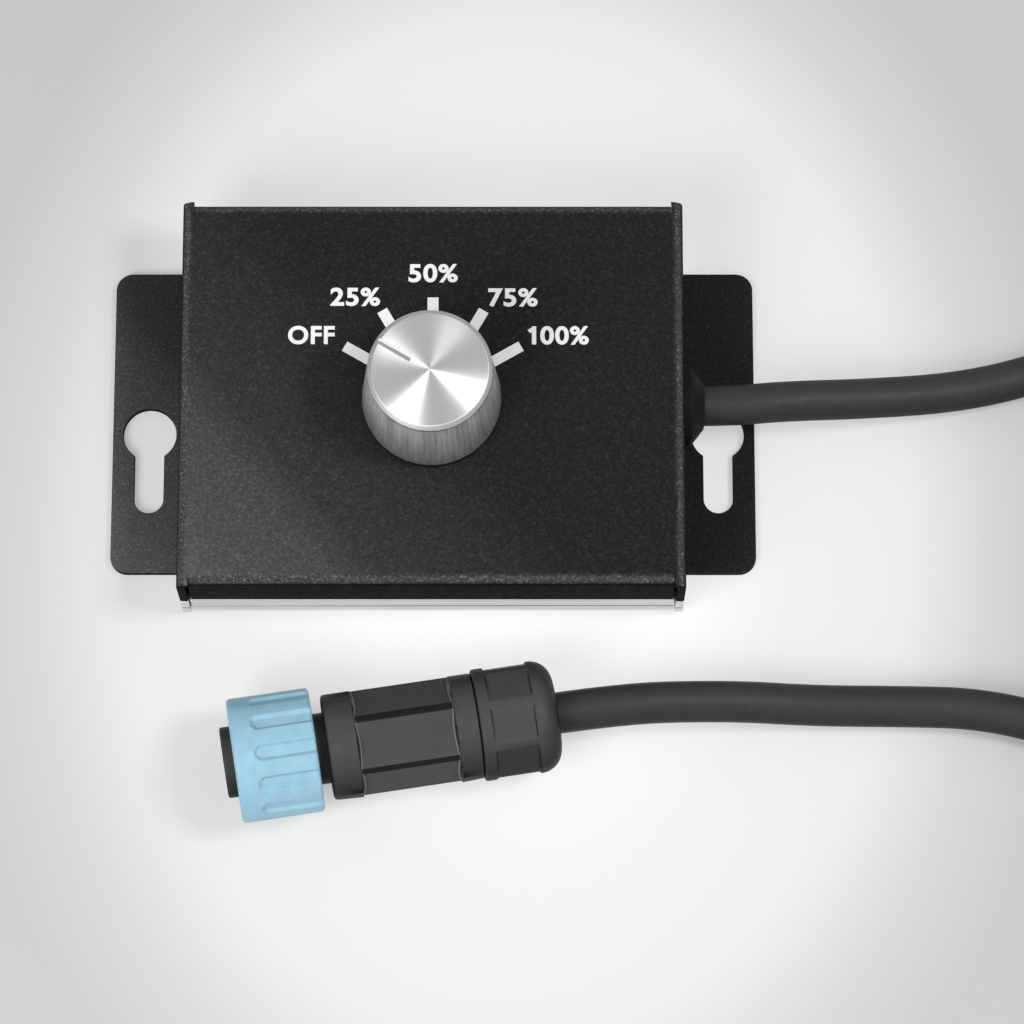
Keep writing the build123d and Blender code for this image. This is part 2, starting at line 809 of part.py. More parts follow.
with BuildPart() as connector_body:
    spigot_r = spigot_d / 2
    insert_r = spigot_r - spigot_wall
    insert_end = insert_recess - spigot_out + insert_length
    with BuildSketch(conn_side):
        with BuildLine():
            Polyline(
                (insert_r, -spigot_out),
                (spigot_r, -spigot_out),
                (spigot_r, retainer_back - retainer_thick),
                (retainer_d / 2, retainer_back - retainer_thick),
                (retainer_d / 2, retainer_back),
                (neck_r, retainer_back),
                (neck_r, body_start),
                (body_d / 2, body_start),
                (body_d / 2, body_end),
                (tail_d / 2, body_end),
                (tail_d / 2, body_end + tail_length),
                (body_bore_d / 2 + claw_wall, body_end + tail_length),
                (body_bore_d / 2 + claw_wall, body_end),
                (body_bore_d / 2, body_end),
                (body_bore_d / 2, insert_end),
                (insert_r, insert_end),
                close=True,
            )
        make_face()
    revolve(axis=conn_axis)
    add(wrench_cutter.part, mode=Mode.SUBTRACT)
finish(connector_body.part, "connector_body")

with BuildPart() as connector_insert:
    with BuildSketch(conn_section(insert_recess - spigot_out)):
        Circle(insert_r - insert_fit)
        with PolarLocations(contact_pitch_d / 2, core_count, start_angle=90):
            Circle(contact_hole_d / 2, mode=Mode.SUBTRACT)
        with Locations((-insert_r, 0)):
            Circle(contact_hole_d / 2, mode=Mode.SUBTRACT)
    extrude(amount=insert_length)
finish(connector_insert.part, "connector_insert")

with BuildPart() as connector_pins:
    with BuildSketch(conn_section(insert_recess)):
        with PolarLocations(contact_pitch_d / 2, core_count, start_angle=90):
            Circle(contact_hole_d / 2 - insert_fit)
            Circle(socket_bore_d / 2, mode=Mode.SUBTRACT)
    extrude(amount=insert_length)
finish(connector_pins.part, "connector_pins")

with BuildPart() as coupling_seal:
    seal_place = retainer_back - retainer_thick - seal_ring_d / 2
    with BuildSketch(conn_side):
        with Locations((spigot_r + seal_ring_d / 2, seal_place)):
            Circle(seal_ring_d / 2)
    revolve(axis=conn_axis)
finish(coupling_seal.part, "coupling_seal")

with BuildPart() as gland_nut:
    with BuildSketch(conn_side):
        with BuildLine():
            Polyline(
                (tail_d / 2 + thread_clear, body_end + thread_clear),
                (gland_r, body_end + thread_clear),
                (gland_r, gland_end),
                (gland_mouth_d / 2, gland_end),
                (gland_mouth_d / 2, gland_end - gland_wall),
                (tail_d / 2 + thread_clear, body_end + tail_length + gland_wall),
                close=True,
            )
        make_face()
        fillet(vertices().group_by(Axis.X)[-1].sort_by(Axis.Y)[-1], gland_round)
    revolve(axis=conn_axis)
    # Eight shallow finger flats behind the collar
    gland_flat_r = (gland_r**2 - (gland_flat_width / 2) ** 2) ** 0.5
    with BuildSketch(conn_section(body_end + gland_collar)):
        with PolarLocations(gland_flat_r, gland_flat_count, start_angle=gland_flat_start):
            Rectangle(gland_r - gland_flat_r, gland_flat_width, align=(Align.MIN, Align.CENTER))
    extrude(amount=gland_flat_length, mode=Mode.SUBTRACT)
finish(gland_nut.part, "gland_nut")

with BuildPart() as gland_bush:
    # Rubber bush squeezed on to the cable inside the tail of the body
    with BuildSketch(conn_section(body_end + insert_fit)):
        Circle(body_bore_d / 2 + claw_wall - insert_fit)
        Circle(cable_r, mode=Mode.SUBTRACT)
    extrude(amount=bush_length)
finish(gland_bush.part, "gland_bush")

with BuildPart() as gland_claw:
    # Slit collet between the bush and the mouth of the gland nut
    claw_start = body_end + bush_length + 2 * insert_fit
    with BuildSketch(conn_section(claw_start)):
        Circle(cable_r + claw_wall)
        Circle(cable_r, mode=Mode.SUBTRACT)
    extrude(amount=claw_length)
    with BuildSketch(conn_section(claw_start + claw_length / 4)):
        with PolarLocations(cable_r + claw_wall / 2, claw_slits):
            Rectangle(2 * claw_wall, claw_slit_w)
    extrude(amount=claw_length, mode=Mode.SUBTRACT)
finish(gland_claw.part, "gland_claw")

return_route = [
    conn_point(body_end),
    conn_point(gland_end + straight_out),
    (42.6, -42.75, 5.0),
    (55.5, -43.2, 3.2),
    (67.5, -43.35, 3.05),
    (79.0, -43.6, 3.0),
    (90.0, -46.1, 3.0),
    (100.5, -50.9, 4.6),
    (110.5, -56.3, 7.6),
]
with BuildPart() as cable_return:
    with BuildLine() as return_line:
        FilletPolyline(*return_route, radius=corner_radii(return_route, least_bend_d * cable_d))
    with BuildSketch(Plane(return_line.wire() @ 0, z_dir=return_line.wire() % 0)):
        Circle(cable_r)
    sweep()
finish(cable_return.part, "cable_return")
return_section = pi * cable_r**2 * return_line.wire().length
print("cable_return volume", round(cable_return.part.volume, 1), "section x length", round(return_section, 1))
print("connector origin", [round(v, 4) for v in tuple(conn_origin)])
print("connector axis", [round(v, 6) for v in tuple(conn_dir)])
print("tilt", round(degrees(tilt), 3), "nut middle", [round(v, 4) for v in conn_point(nut_length / 2)])
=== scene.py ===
"""Looks of a stepped dimmer box for a grow light, with its knob, dial print, cable and screw connector.

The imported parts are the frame: every size here is in metres, in their frame.
"""

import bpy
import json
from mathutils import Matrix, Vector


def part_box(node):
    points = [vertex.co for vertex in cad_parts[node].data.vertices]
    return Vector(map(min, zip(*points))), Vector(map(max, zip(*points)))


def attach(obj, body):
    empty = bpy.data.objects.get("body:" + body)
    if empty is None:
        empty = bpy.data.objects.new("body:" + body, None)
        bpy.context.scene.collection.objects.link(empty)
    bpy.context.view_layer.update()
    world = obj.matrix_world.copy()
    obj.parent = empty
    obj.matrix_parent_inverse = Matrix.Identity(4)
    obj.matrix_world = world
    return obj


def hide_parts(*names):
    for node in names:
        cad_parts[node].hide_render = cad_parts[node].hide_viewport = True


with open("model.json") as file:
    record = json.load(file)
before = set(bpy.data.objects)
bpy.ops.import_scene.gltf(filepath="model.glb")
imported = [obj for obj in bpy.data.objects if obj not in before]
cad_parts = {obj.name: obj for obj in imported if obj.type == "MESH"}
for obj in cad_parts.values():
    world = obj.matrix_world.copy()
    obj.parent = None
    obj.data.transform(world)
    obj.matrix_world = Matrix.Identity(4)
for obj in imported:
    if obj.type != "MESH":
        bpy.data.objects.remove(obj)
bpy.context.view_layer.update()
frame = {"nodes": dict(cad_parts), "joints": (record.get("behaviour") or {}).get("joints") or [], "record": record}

import json
from math import cos, pi, radians, sin, sqrt

import bmesh
import bpy
from bpy.props import FloatProperty, FloatVectorProperty, IntProperty, PointerProperty
from mathutils import Matrix, Vector

bl_info = {
    "name": "Stepped Dimmer",
    "version": (1, 0, 0),
    "blender": (4, 5, 0),
    "location": "3D View > Sidebar > Dimmer",
    "description": "Models and paints a stepped dimmer box with its knob, cable and connector",
    "category": "Add Mesh",
}

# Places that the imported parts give
cover_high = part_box("cover")[1]
tray_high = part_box("base_tray")[1]
knob_low, knob_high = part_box("knob_cap")
grommet_low, grommet_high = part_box("cable_grommet")
strap_low, strap_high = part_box("coil_tie")
joints = {joint["name"]: joint for joint in frame["joints"]}
knob_axis = Vector((joints["knob_turn"]["pos_m"][0], joints["knob_turn"]["pos_m"][1], 0))
nut_middle = Vector(joints["coupling_turn"]["pos_m"])
plug_axis = Vector(joints["coupling_turn"]["axis"]).normalized()

# Places closer than this count as one, in metres
touch = 1e-5

# Finishes that are already made, by slot
made_materials = {}


def length(name, description, default):
    """Property for one size in metres."""
    return FloatProperty(name=name, description=description, default=default, unit="LENGTH", precision=5)


def angle(name, description, degrees):
    """Property for one angle, given in degrees."""
    return FloatProperty(name=name, description=description, default=radians(degrees), subtype="ANGLE")


def number(name, description, default, low):
    """Property for one count."""
    return IntProperty(name=name, description=description, default=default, min=low)


def colour(name, description, default):
    """Property for one linear colour."""
    return FloatVectorProperty(
        name=name, description=description, default=default, subtype="COLOR", size=3, min=0, max=1
    )


class DimmerBoxSizes(bpy.types.PropertyGroup):
    """Sizes of the folded cover, its print and the tray"""

    sheet: length("Sheet", "Thickness of the cover and of the tray", 0.0012)
    fold: length("Fold", "Outside radius of the folds", 0.0016)
    ear_fold: length("Ear fold", "Radius in the corner above each ear", 0.0004)
    slit: length("Slit", "Open line between a flange and the side wall", 0.00005)
    flange_inset: length("Flange inset", "How far the flanges stand behind the side walls", 0.0003)
    flange_bottom: length("Flange bottom", "Height of the lower edge of the flanges", 0.0079)
    ear_depth: length("Ear depth", "Size of an ear along the box's depth", 0.046)
    ear_corner: length("Ear corner", "Radius of an ear's outer corners", 0.0025)
    keyhole_head: length("Keyhole head", "Diameter of the keyhole's round end", 0.0078)
    keyhole_slot: length("Keyhole slot", "Width of the keyhole's slot", 0.0043)
    keyhole_run: length("Keyhole run", "From the round end's middle to the slot's last middle", 0.00985)
    keyhole_y: length("Keyhole place", "Where the round end's middle lies in depth", -0.00185)
    bushing_hole: length("Bushing hole", "Diameter of the switch hole under the knob", 0.0072)
    cable_hole: length("Cable hole", "Diameter of the grommet's hole", 0.0094)
    grommet_lip: length("Grommet lip", "Thickness of the grommet's outer flange", 0.0014)
    grommet_nose: length("Grommet nose", "Diameter of the grommet's nose", 0.0074)
    soft_edge: length("Soft edge", "Rounding that the coat gives each edge", 0.00014)
    tab_gap: length("Tab gap", "Gap between the tray's corner tabs and the ears", 0.0002)
    bead: length("Bead", "Depth of the pressed line in the tray's walls", 0.00025)
    bead_height: length("Bead height", "Height of the pressed line", 0.0004)
    post_x: length("Post X", "Tray screws from the middle, along the box", 0.0285)
    post_y: length("Post Y", "Tray screws from the middle, in depth", 0.02035)
    label_height: length("Label height", "Height of the capitals on the dial", 0.0027)
    label_bold: length("Label bold", "How far the strokes of the labels are thickened", 0.00011)
    tick_width: length("Tick width", "Width of a dial tick", 0.0016)
    tick_end: length("Tick end", "Radius where a tick ends", 0.01475)
    tick_start: length("Tick start", "Radius where a tick starts, under the knob", 0.0085)
    dial_x: length("Dial X", "Middle of the printed dial, along the box", 0.0001)
    dial_y: length("Dial Y", "Middle of the printed dial, in depth", -0.00055)
    print_thick: length("Print", "Thickness of the screen print", 0.00003)


class DimmerKnobSizes(bpy.types.PropertyGroup):
    """Sizes of the turned knob"""

    top: length("Top", "Diameter under the bevel", 0.01775)
    bevel: length("Bevel", "Bevel round the top", 0.00055)
    foot: length("Foot", "Plain foot under the knurl", 0.0015)
    # The band this high round the foot is painted dark as the shadow under the knob
    rim: length("Rim", "Height of the dark line round the foot", 0.001)
    wall: length("Wall", "Wall of the cap at its top", 0.001)
    crown: length("Crown", "Thickness of the cap's top", 0.0016)
    cone: length("Cone", "How far the middle of the top stands over its rim", 0.0001)
    ring: length("Ring", "Turned line under the bevel", 0.00025)
    knurl: number("Knurl", "Number of grooves", 72, 12)
    knurl_depth: length("Knurl depth", "Depth of a groove", 0.00022)
    pointer_start: length("Pointer start", "Radius where the pointer line starts", 0.0031)
    pointer_width: length("Pointer width", "Width of the pointer line", 0.00085)
    pointer_depth: length("Pointer depth", "Depth of the pointer line", 0.00025)
    off_angle: angle("Off angle", "Where the pointer stands at rest", 150)
    step_angle: angle("Step angle", "Angle from one dial mark to the next", 30)


class DimmerPlugSizes(bpy.types.PropertyGroup):
    """Sizes of the screw connector, measured from the front face of its nut"""

    nut: length("Nut", "Diameter of the coupling nut", 0.0179)
    nut_length: length("Nut length", "Length of the coupling nut", 0.0119)
    nut_bore: length("Nut bore", "Diameter of the nut's thread", 0.0154)
    nut_lip: length("Nut lip", "Thickness of the nut's rear lip", 0.002)
    nut_band: length("Nut band", "Plain band in front of the flutes", 0.003)
    flutes: number("Flutes", "Number of grip flutes", 12, 3)
    flute_depth: length("Flute depth", "Depth of a flute", 0.0005)
    flute_start: angle("Flute start", "Where the first flute stands", 97.5)
    nut_round: length("Nut corner", "Rounding of the nut's outer corners", 0.0006)
    neck: length("Neck", "Diameter of the neck and of the front ring", 0.0102)
    neck_length: length("Neck length", "Gap between nut and body", 0.0015)
    spigot: length("Spigot", "How far the front ring stands out of the nut", 0.0015)
    spigot_wall: length("Spigot wall", "Wall of the front ring", 0.0009)
    insert_end: length("Insert end", "Where the bore for the insert ends", 0.0058)
    retainer: length("Retainer", "Diameter of the flange that holds the nut", 0.0136)
    retainer_thick: length("Retainer thickness", "Thickness of that flange", 0.0014)
    nut_play: length("Nut play", "Gap between the nut's lip and the body", 0.0003)
    body: length("Body", "Diameter of the body's collars", 0.0152)
    body_length: length("Body length", "Length of the body", 0.0218)
    front_collar: length("Front collar", "Round stretch in front of the flats", 0.0044)
    rear_collar: length("Rear collar", "Round stretch behind the flats", 0.0034)
    flats: length("Flats", "Size across the wrench flats", 0.0134)
    flat_start: angle("Flat start", "Where the first wrench flat stands", 105)
    flat_slope: length("Flat slope", "Run of the sloped ends of a flat", 0.0005)
    ridge: length("Ridge", "How far the corners between the flats are taken off", 0.0005)
    cable_bore: length("Cable bore", "Bore of the body", 0.0064)
    tail: length("Tail", "Diameter of the threaded tail", 0.0124)
    tail_length: length("Tail length", "Length of the threaded tail", 0.005)
    gland: length("Gland", "Diameter of the gland nut", 0.0162)
    gland_length: length("Gland length", "Length of the gland nut", 0.0115)
    gland_dome: length("Gland dome", "Radius of the gland nut's end", 0.0032)
    gland_collar: length("Gland collar", "Round stretch in front of the finger flats", 0.0018)
    gland_mouth: length("Gland mouth", "Bore of the gland nut's end", 0.0066)
    finger_flats: number("Finger flats", "Number of finger flats", 8, 3)
    finger_start: angle("Finger start", "Where the first finger flat stands", 105)
    gland_wall: length("Gland wall", "Wall of the gland nut's end", 0.0016)
    soft_edge: length("Soft edge", "Rounding of the mouldings' edges", 0.00015)
    finger_width: length("Finger width", "Width of a finger flat", 0.0051)
    finger_length: length("Finger length", "Length of a finger flat", 0.0062)


class DimmerCordSizes(bpy.types.PropertyGroup):
    """Sizes of the cable and its coil"""

    diameter: length("Diameter", "Diameter of the cable", 0.006)
    real_length: length("Length", "Length of the whole cable", 1.61)
    coil_inner: length("Coil inner", "Radius of the innermost turn", 0.024)
    coil_outer: length("Coil outer", "Radius of the outermost turn", 0.044)
    coil_turns: FloatProperty(name="Turns", description="Turns in one layer of the coil", default=10 / 3)
    turn_points: number("Turn points", "Control points in one turn", 18, 12)
    strap: length("Strap", "Thickness of the coil's strap", 0.0008)


class DimmerFinishes(bpy.types.PropertyGroup):
    """Colours of the finishes"""

    coat: colour("Coat", "Powder coat of the cover", (0.0112, 0.0116, 0.0113))
    print_white: colour("Print", "Screen print on the panel", (0.7, 0.7, 0.7))
    aluminium: colour("Aluminium", "Bare aluminium", (0.78, 0.78, 0.79))
    zinc: colour("Zinc", "Plated steel inside the box", (0.55, 0.55, 0.56))
    jacket: colour("Jacket", "Cable jacket", (0.032, 0.0322, 0.0322))
    nylon: colour("Nylon", "Black mouldings of the connector", (0.05, 0.0508, 0.05))
    blue: colour("Blue", "Coupling nut", (0.23, 0.41, 0.52))
    rubber: colour("Rubber", "Grommet and seals", (0.008, 0.008, 0.008))
    brass: colour("Brass", "Contacts", (0.75, 0.58, 0.3))
    board: colour("Board", "Solder mask", (0.03, 0.16, 0.06))
    wire: colour("Wire", "Core insulation", (0.4, 0.05, 0.04))
    strap: colour("Strap", "Woven strap", (0.012, 0.012, 0.013))
    floor: colour("Floor", "Pale floor", (0.8, 0.8, 0.8))


class DimmerStage(bpy.types.PropertyGroup):
    """Camera of the photograph's view"""

    elevation: angle("Elevation", "Camera over the horizon", 75.26)
    distance: length("Distance", "From the camera to the point it looks at", 0.64535)
    target_x: length("Target X", "Point on the floor that the camera looks at", 0.01156)
    target_y: length("Target Y", "Point on the floor that the camera looks at", -0.01339)
    lens: FloatProperty(
        name="Lens", description="Focal length in millimetres on a 36 mm sensor", default=153.9
    )


# Modelling helpers


def start_clean():
    """Leave edit mode and deselect everything."""
    if bpy.context.object and bpy.context.object.mode != "OBJECT":
        bpy.ops.object.mode_set(mode="OBJECT")
    bpy.ops.object.select_all(action="DESELECT")


def hold(piece):
    """Select one piece alone and make it the active one."""
    start_clean()
    piece.select_set(True)
    bpy.context.view_layer.objects.active = piece


def edit(piece):
    """Go into edit mode on one piece."""
    hold(piece)
    bpy.ops.object.mode_set(mode="EDIT")


def settle(piece):
    """Put a piece's place, turn and size into its mesh."""
    hold(piece)
    bpy.ops.object.transform_apply(location=True, rotation=True, scale=True)


def named(name):
    """Name the primitive that was just added and settle it."""
    piece = bpy.context.object
    piece.name = name
    settle(piece)
    return piece


def add_plane(name, width, depth, level):
    """Level rectangle about the middle of the box."""
    start_clean()
    bpy.ops.mesh.primitive_plane_add(size=1, location=(0, 0, level))
    bpy.context.object.scale = (width, depth, 1)
    return named(name)


def add_block(name, low, high):
    """Block between two corners."""
    start_clean()
    bpy.ops.mesh.primitive_cube_add(size=1, location=(Vector(low) + Vector(high)) / 2)
    bpy.context.object.scale = Vector(high) - Vector(low)
    return named(name)


def add_rod(name, radius, low, high, sides=64, top_radius=None):
    """Round or tapered rod from one point to another."""
    start_clean()
    run = Vector(high) - Vector(low)
    bpy.ops.mesh.primitive_cone_add(
        vertices=sides,
        radius1=radius,
        radius2=radius if top_radius is None else top_radius,
        depth=run.length,
        location=(Vector(low) + Vector(high)) / 2,
    )
    bpy.context.object.rotation_mode = "QUATERNION"
    bpy.context.object.rotation_quaternion = run.to_track_quat("Z", "Y")
    return named(name)


def pick(piece, kind, test):
    """Select the vertices, edges or faces of a piece in edit mode whose place passes a test."""
    bpy.ops.mesh.select_mode(type=kind)
    bpy.ops.mesh.select_all(action="DESELECT")
    mesh = bmesh.from_edit_mesh(piece.data)
    if kind == "VERT":
        found = [vert for vert in mesh.verts if test(vert.co)]
    elif kind == "EDGE":
        found = [edge for edge in mesh.edges if all(test(vert.co) for vert in edge.verts)]
    else:
        found = [face for face in mesh.faces if test(face.calc_center_median())]
    for part in found:
        part.select_set(True)
    mesh.select_flush_mode()
    bmesh.update_edit_mesh(piece.data)
    if not found:
        raise RuntimeError(f"{piece.name}: nothing to select")


def drop_edges(piece, test):
    """Deselect the edges of a piece in edit mode whose two ends pass a test."""
    mesh = bmesh.from_edit_mesh(piece.data)
    for edge in mesh.edges:
        if test(edge.verts[0].co, edge.verts[1].co):
            edge.select_set(False)
    bmesh.update_edit_mesh(piece.data)


def near(a, b):
    """Whether two places count as one."""
    return abs(a - b) < touch


def cut_lines(axis, spots):
    """Cut edge lines across the whole piece in edit mode, square to an axis."""
    normal = {"X": (1, 0, 0), "Y": (0, 1, 0), "Z": (0, 0, 1)}[axis]
    for spot in spots:
        bpy.ops.mesh.select_all(action="SELECT")
        bpy.ops.mesh.bisect(plane_co=Vector(normal) * spot, plane_no=normal, threshold=touch / 10)


def pull(move):
    """Extrude what is selected by a move."""
    bpy.ops.mesh.extrude_region_move(TRANSFORM_OT_translate={"value": move})


def round_edges(width, segments):
    """Round the selected edges."""
    bpy.ops.mesh.bevel(offset=width, segments=segments, affect="EDGES", clamp_overlap=False)


def face_out(piece, looks=None):
    """Merge doubles and turn all faces outwards, or so that the largest looks along a direction."""
    bpy.ops.mesh.select_all(action="SELECT")
    bpy.ops.mesh.remove_doubles(threshold=touch / 100)
    bpy.ops.mesh.normals_make_consistent(inside=False)
    if looks:
        mesh = bmesh.from_edit_mesh(piece.data)
        largest = max(mesh.faces, key=lambda face: face.calc_area())
        if largest.normal.dot(Vector(looks)) < 0:
            bpy.ops.mesh.flip_normals()


def modify(piece, kind, **settings):
    """Add one modifier and apply it."""
    hold(piece)
    modifier = piece.modifiers.new(kind, kind)
    for name, value in settings.items():
        setattr(modifier, name, value)
    bpy.ops.object.modifier_apply(modifier=modifier.name)


def soften(piece, width, degrees, skip=None):
    """Round every edge that is sharper than an angle, but for those whose ends a test skips."""
    edit(piece)
    mesh = bmesh.from_edit_mesh(piece.data)
    weight = mesh.edges.layers.float.new("bevel_weight_edge")
    for edge in mesh.edges:
        sharp = edge.is_manifold and edge.calc_face_angle() > radians(degrees)
        if sharp and not (skip and skip(edge.verts[0].co, edge.verts[1].co)):
            edge[weight] = 1.0
    bmesh.update_edit_mesh(piece.data)
    modify(piece, "BEVEL", width=width, segments=2, limit_method="WEIGHT", use_clamp_overlap=False)


def join(pieces, name):
    """Join pieces into one object."""
    hold(pieces[0])
    for piece in pieces:
        piece.select_set(True)
    if len(pieces) > 1:
        bpy.ops.object.join()
    pieces[0].name = name
    return pieces[0]


def cut_away(piece, cutters):
    """Cut a group of shapes out of a piece."""
    cutter = join(cutters, "cutter")
    modify(piece, "BOOLEAN", operation="DIFFERENCE", solver="EXACT", object=cutter)
    bpy.data.objects.remove(cutter)


def around(piece, count, step, first, middle=Vector((0, 0, 0))):
    """Copies of a piece, turned step by step about an upright axis."""
    made = []
    for i in range(count):
        hold(piece)
        bpy.ops.object.duplicate(linked=False)
        copy = bpy.context.object
        turn = Matrix.Rotation(first + step * i, 4, "Z")
        copy.matrix_world = Matrix.Translation(middle) @ turn @ Matrix.Translation(-middle)
        settle(copy)
        made.append(copy)
    bpy.data.objects.remove(piece)
    return made


def arc(middle_r, middle_s, radius, start, stop, segments):
    """Points of a round corner in a turned section."""
    angles = [radians(start + (stop - start) * i / segments) for i in range(segments + 1)]
    return [(middle_r + radius * cos(a), middle_s + radius * sin(a)) for a in angles]


def turned(name, section, sides, closed=True):
    """Turn a section of (radius, height) points about the Z axis."""
    start_clean()
    bpy.ops.mesh.primitive_plane_add(size=0.001)
    piece = named(name)
    edit(piece)
    bpy.ops.mesh.select_mode(type="VERT")
    bpy.ops.mesh.select_all(action="SELECT")
    bpy.ops.mesh.merge(type="CENTER")
    bpy.ops.transform.translate(value=(section[0][0], 0, section[0][1]))
    for here, following in zip(section, section[1:]):
        pull((following[0] - here[0], 0, following[1] - here[1]))
    if closed:
        bpy.ops.mesh.select_all(action="DESELECT")
        mesh = bmesh.from_edit_mesh(piece.data)
        for vert in [vert for vert in mesh.verts if len(vert.link_edges) == 1]:
            vert.select_set(True)
        bmesh.update_edit_mesh(piece.data)
        bpy.ops.mesh.edge_face_add()
    bpy.ops.mesh.select_all(action="SELECT")
    bpy.ops.mesh.spin(steps=sides, angle=2 * pi, center=(0, 0, 0), axis=(0, 0, 1), use_auto_merge=True)
    face_out(piece)
    return piece


def lay(piece, place):
    """Move a finished piece to its place and leave its object at the origin."""
    hold(piece)
    piece.matrix_world = place
    settle(piece)


def dress(piece, slot, body, nodes=(), smooth=35, material=None):
    """Smooth a finished piece, paint it and tie it to the frame."""
    if piece.type == "MESH" and not piece.data.polygons:
        raise RuntimeError(f"{piece.name}: no faces")
    hold(piece)
    if piece.type == "MESH":
        piece.data.name = piece.name
        bpy.ops.object.shade_smooth_by_angle(angle=radians(smooth))
        modify(piece, "WEIGHTED_NORMAL", keep_sharp=True, mode="FACE_AREA")
    piece.data.materials.clear()
    piece.data.materials.append(material or slot_material(slot, bpy.context.scene.dimmer_finishes))
    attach(piece, body)
    if nodes:
        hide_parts(*nodes)


def plug_place(sizes):
    """Frame of the connector: Z along it from the nut's front face, Y upwards."""
    across = Vector((0, 0, 1)).cross(plug_axis).normalized()
    up = plug_axis.cross(across)
    origin = nut_middle - plug_axis * sizes.nut_length / 2
    turn = Matrix((across, up, plug_axis)).transposed().to_4x4()
    return Matrix.Translation(origin) @ turn


# Material helpers


def painted(name):
    """New material with its node tree and shader."""
    material = bpy.data.materials.get(name)
    if material:
        bpy.data.materials.remove(material)
    material = bpy.data.materials.new(name)
    material.use_nodes = True
    return material, material.node_tree, material.node_tree.nodes["Principled BSDF"]


def give(target, inputs):
    """Fill a node's inputs: an output of another node is linked, a value is set."""
    for name, value in inputs.items():
        if isinstance(value, bpy.types.NodeSocket):
            target.id_data.links.new(value, target.inputs[name])
        else:
            target.inputs[name].default_value = value


def node(tree, kind, inputs=None, **settings):
    """Add one node with its settings and its inputs."""
    made = tree.nodes.new(kind)
    for name, value in settings.items():
        setattr(made, name, value)
    give(made, inputs or {})
    return made


def places(tree, scale=(1, 1, 1), location=(0, 0, 0)):
    """Object coordinates through a mapping."""
    where = node(tree, "ShaderNodeTexCoord").outputs["Object"]
    made = node(tree, "ShaderNodeMapping", {"Vector": where, "Scale": scale, "Location": location})
    return made.outputs["Vector"]


def height(tree, vector):
    """The upward part of a place or a direction."""
    return node(tree, "ShaderNodeSeparateXYZ", {"Vector": vector}).outputs["Z"]


def facing(tree):
    """How far the surface looks upwards, from 0 on a wall to 1 on a level face."""
    return height(tree, node(tree, "ShaderNodeNewGeometry").outputs["Normal"])


def noise(tree, where, scale, detail=2.0, rough=0.5):
    """Noise texture on given coordinates."""
    inputs = {"Vector": where, "Scale": scale, "Detail": detail, "Roughness": rough}
    return node(tree, "ShaderNodeTexNoise", inputs).outputs["Fac"]


def ramp(tree, value, stops):
    """Colour ramp through stops of (place, colour or level)."""
    made = node(tree, "ShaderNodeValToRGB", {"Fac": value})
    band = made.color_ramp
    while len(band.elements) < len(stops):
        band.elements.new(0.5)
    for element, (place, level) in zip(band.elements, stops):
        element.position = place
        element.color = (*level, 1) if hasattr(level, "__len__") else (level, level, level, 1)
    return made.outputs["Color"]


def shade(base, factor):
    """A colour made lighter or darker."""
    return tuple(min(1.0, channel * factor) for channel in base)


def mottled(tree, value, base, low, high, stops=(0.3, 0.7)):
    """A colour that runs from one shade of a base to another with a value."""
    return ramp(tree, value, [(stops[0], shade(base, low)), (stops[1], shade(base, high))])


def bump(tree, shader, relief, strength, distance):
    """Bump on the shader from a relief."""
    made = node(tree, "ShaderNodeBump", {"Height": relief, "Strength": strength, "Distance": distance})
    give(shader, {"Normal": made.outputs["Normal"]})


def blend(tree, share, first, second):
    """Mix of two colours by a share."""
    return node(tree, "ShaderNodeMix", {0: share, 6: first, 7: second}, data_type="RGBA").outputs[2]


def powder_coat(finishes):
    """Black powder coat with a fine sparkling grain, with painted shade on its walls, a painted pool of light
    towards the front left corner and a painted highlight along the folds.
    """
    material, tree, shader = painted("black_powder_coat")
    where = places(tree)
    grain = noise(tree, where, 2600, 3.0, 0.6)
    base = tuple(finishes.coat)

    def speckled(*shades, stops=(0.35, 0.6, 0.75)):
        return ramp(tree, grain, [(stop, shade(base, factor)) for stop, factor in zip(stops, shades)])

    # The darkest tone is painted shade on the upright walls; the level panel gets the others
    wall = speckled(0.35, 0.6, 1.5)
    dull = speckled(0.9, 1.5, 3.2)
    light = speckled(5, 8, 14)
    fold_highlight = speckled(2, 4.5, 13, stops=(0.3, 0.55, 0.7))
    # A pool of light is painted onto the coat, brightest towards the front left corner
    corner = node(tree, "ShaderNodeVectorMath", {0: where, 1: (-13, -11, 0)}, operation="DOT_PRODUCT")
    light_pool_stops = [(0.0, 0.0), (0.39, 0.22), (0.48, 0.5), (0.67, 0.7), (0.8, 1.0)]
    painted_light_share = ramp(tree, corner.outputs["Value"], light_pool_stops)
    upward = facing(tree)
    # Faces that lean between level and upright get a painted highlight along the folds and soft edges
    fold = ramp(tree, upward, [(0.4, 0.0), (0.7, 1.0), (0.93, 1.0), (0.995, 0.0)])
    flat = ramp(tree, upward, [(0.3, 0.0), (0.9, 1.0)])
    sheet = blend(tree, flat, wall, blend(tree, painted_light_share, dull, light))
    tone = blend(tree, fold, sheet, fold_highlight)
    gloss = ramp(tree, noise(tree, where, 1500), [(0.35, 0.6), (0.7, 0.8)])
    give(shader, {"Base Color": tone, "Roughness": gloss, "Specular IOR Level": 0.02})
    bump(tree, shader, grain, 0.55, 0.00012)
    return material


def screen_print(finishes):
    """White ink that lies a little uneven on the coat."""
    material, tree, shader = painted("white_print")
    tone = mottled(tree, noise(tree, places(tree), 1800), tuple(finishes.print_white), 0.95, 1.0)
    give(shader, {"Base Color": tone, "Roughness": 0.55})
    return material


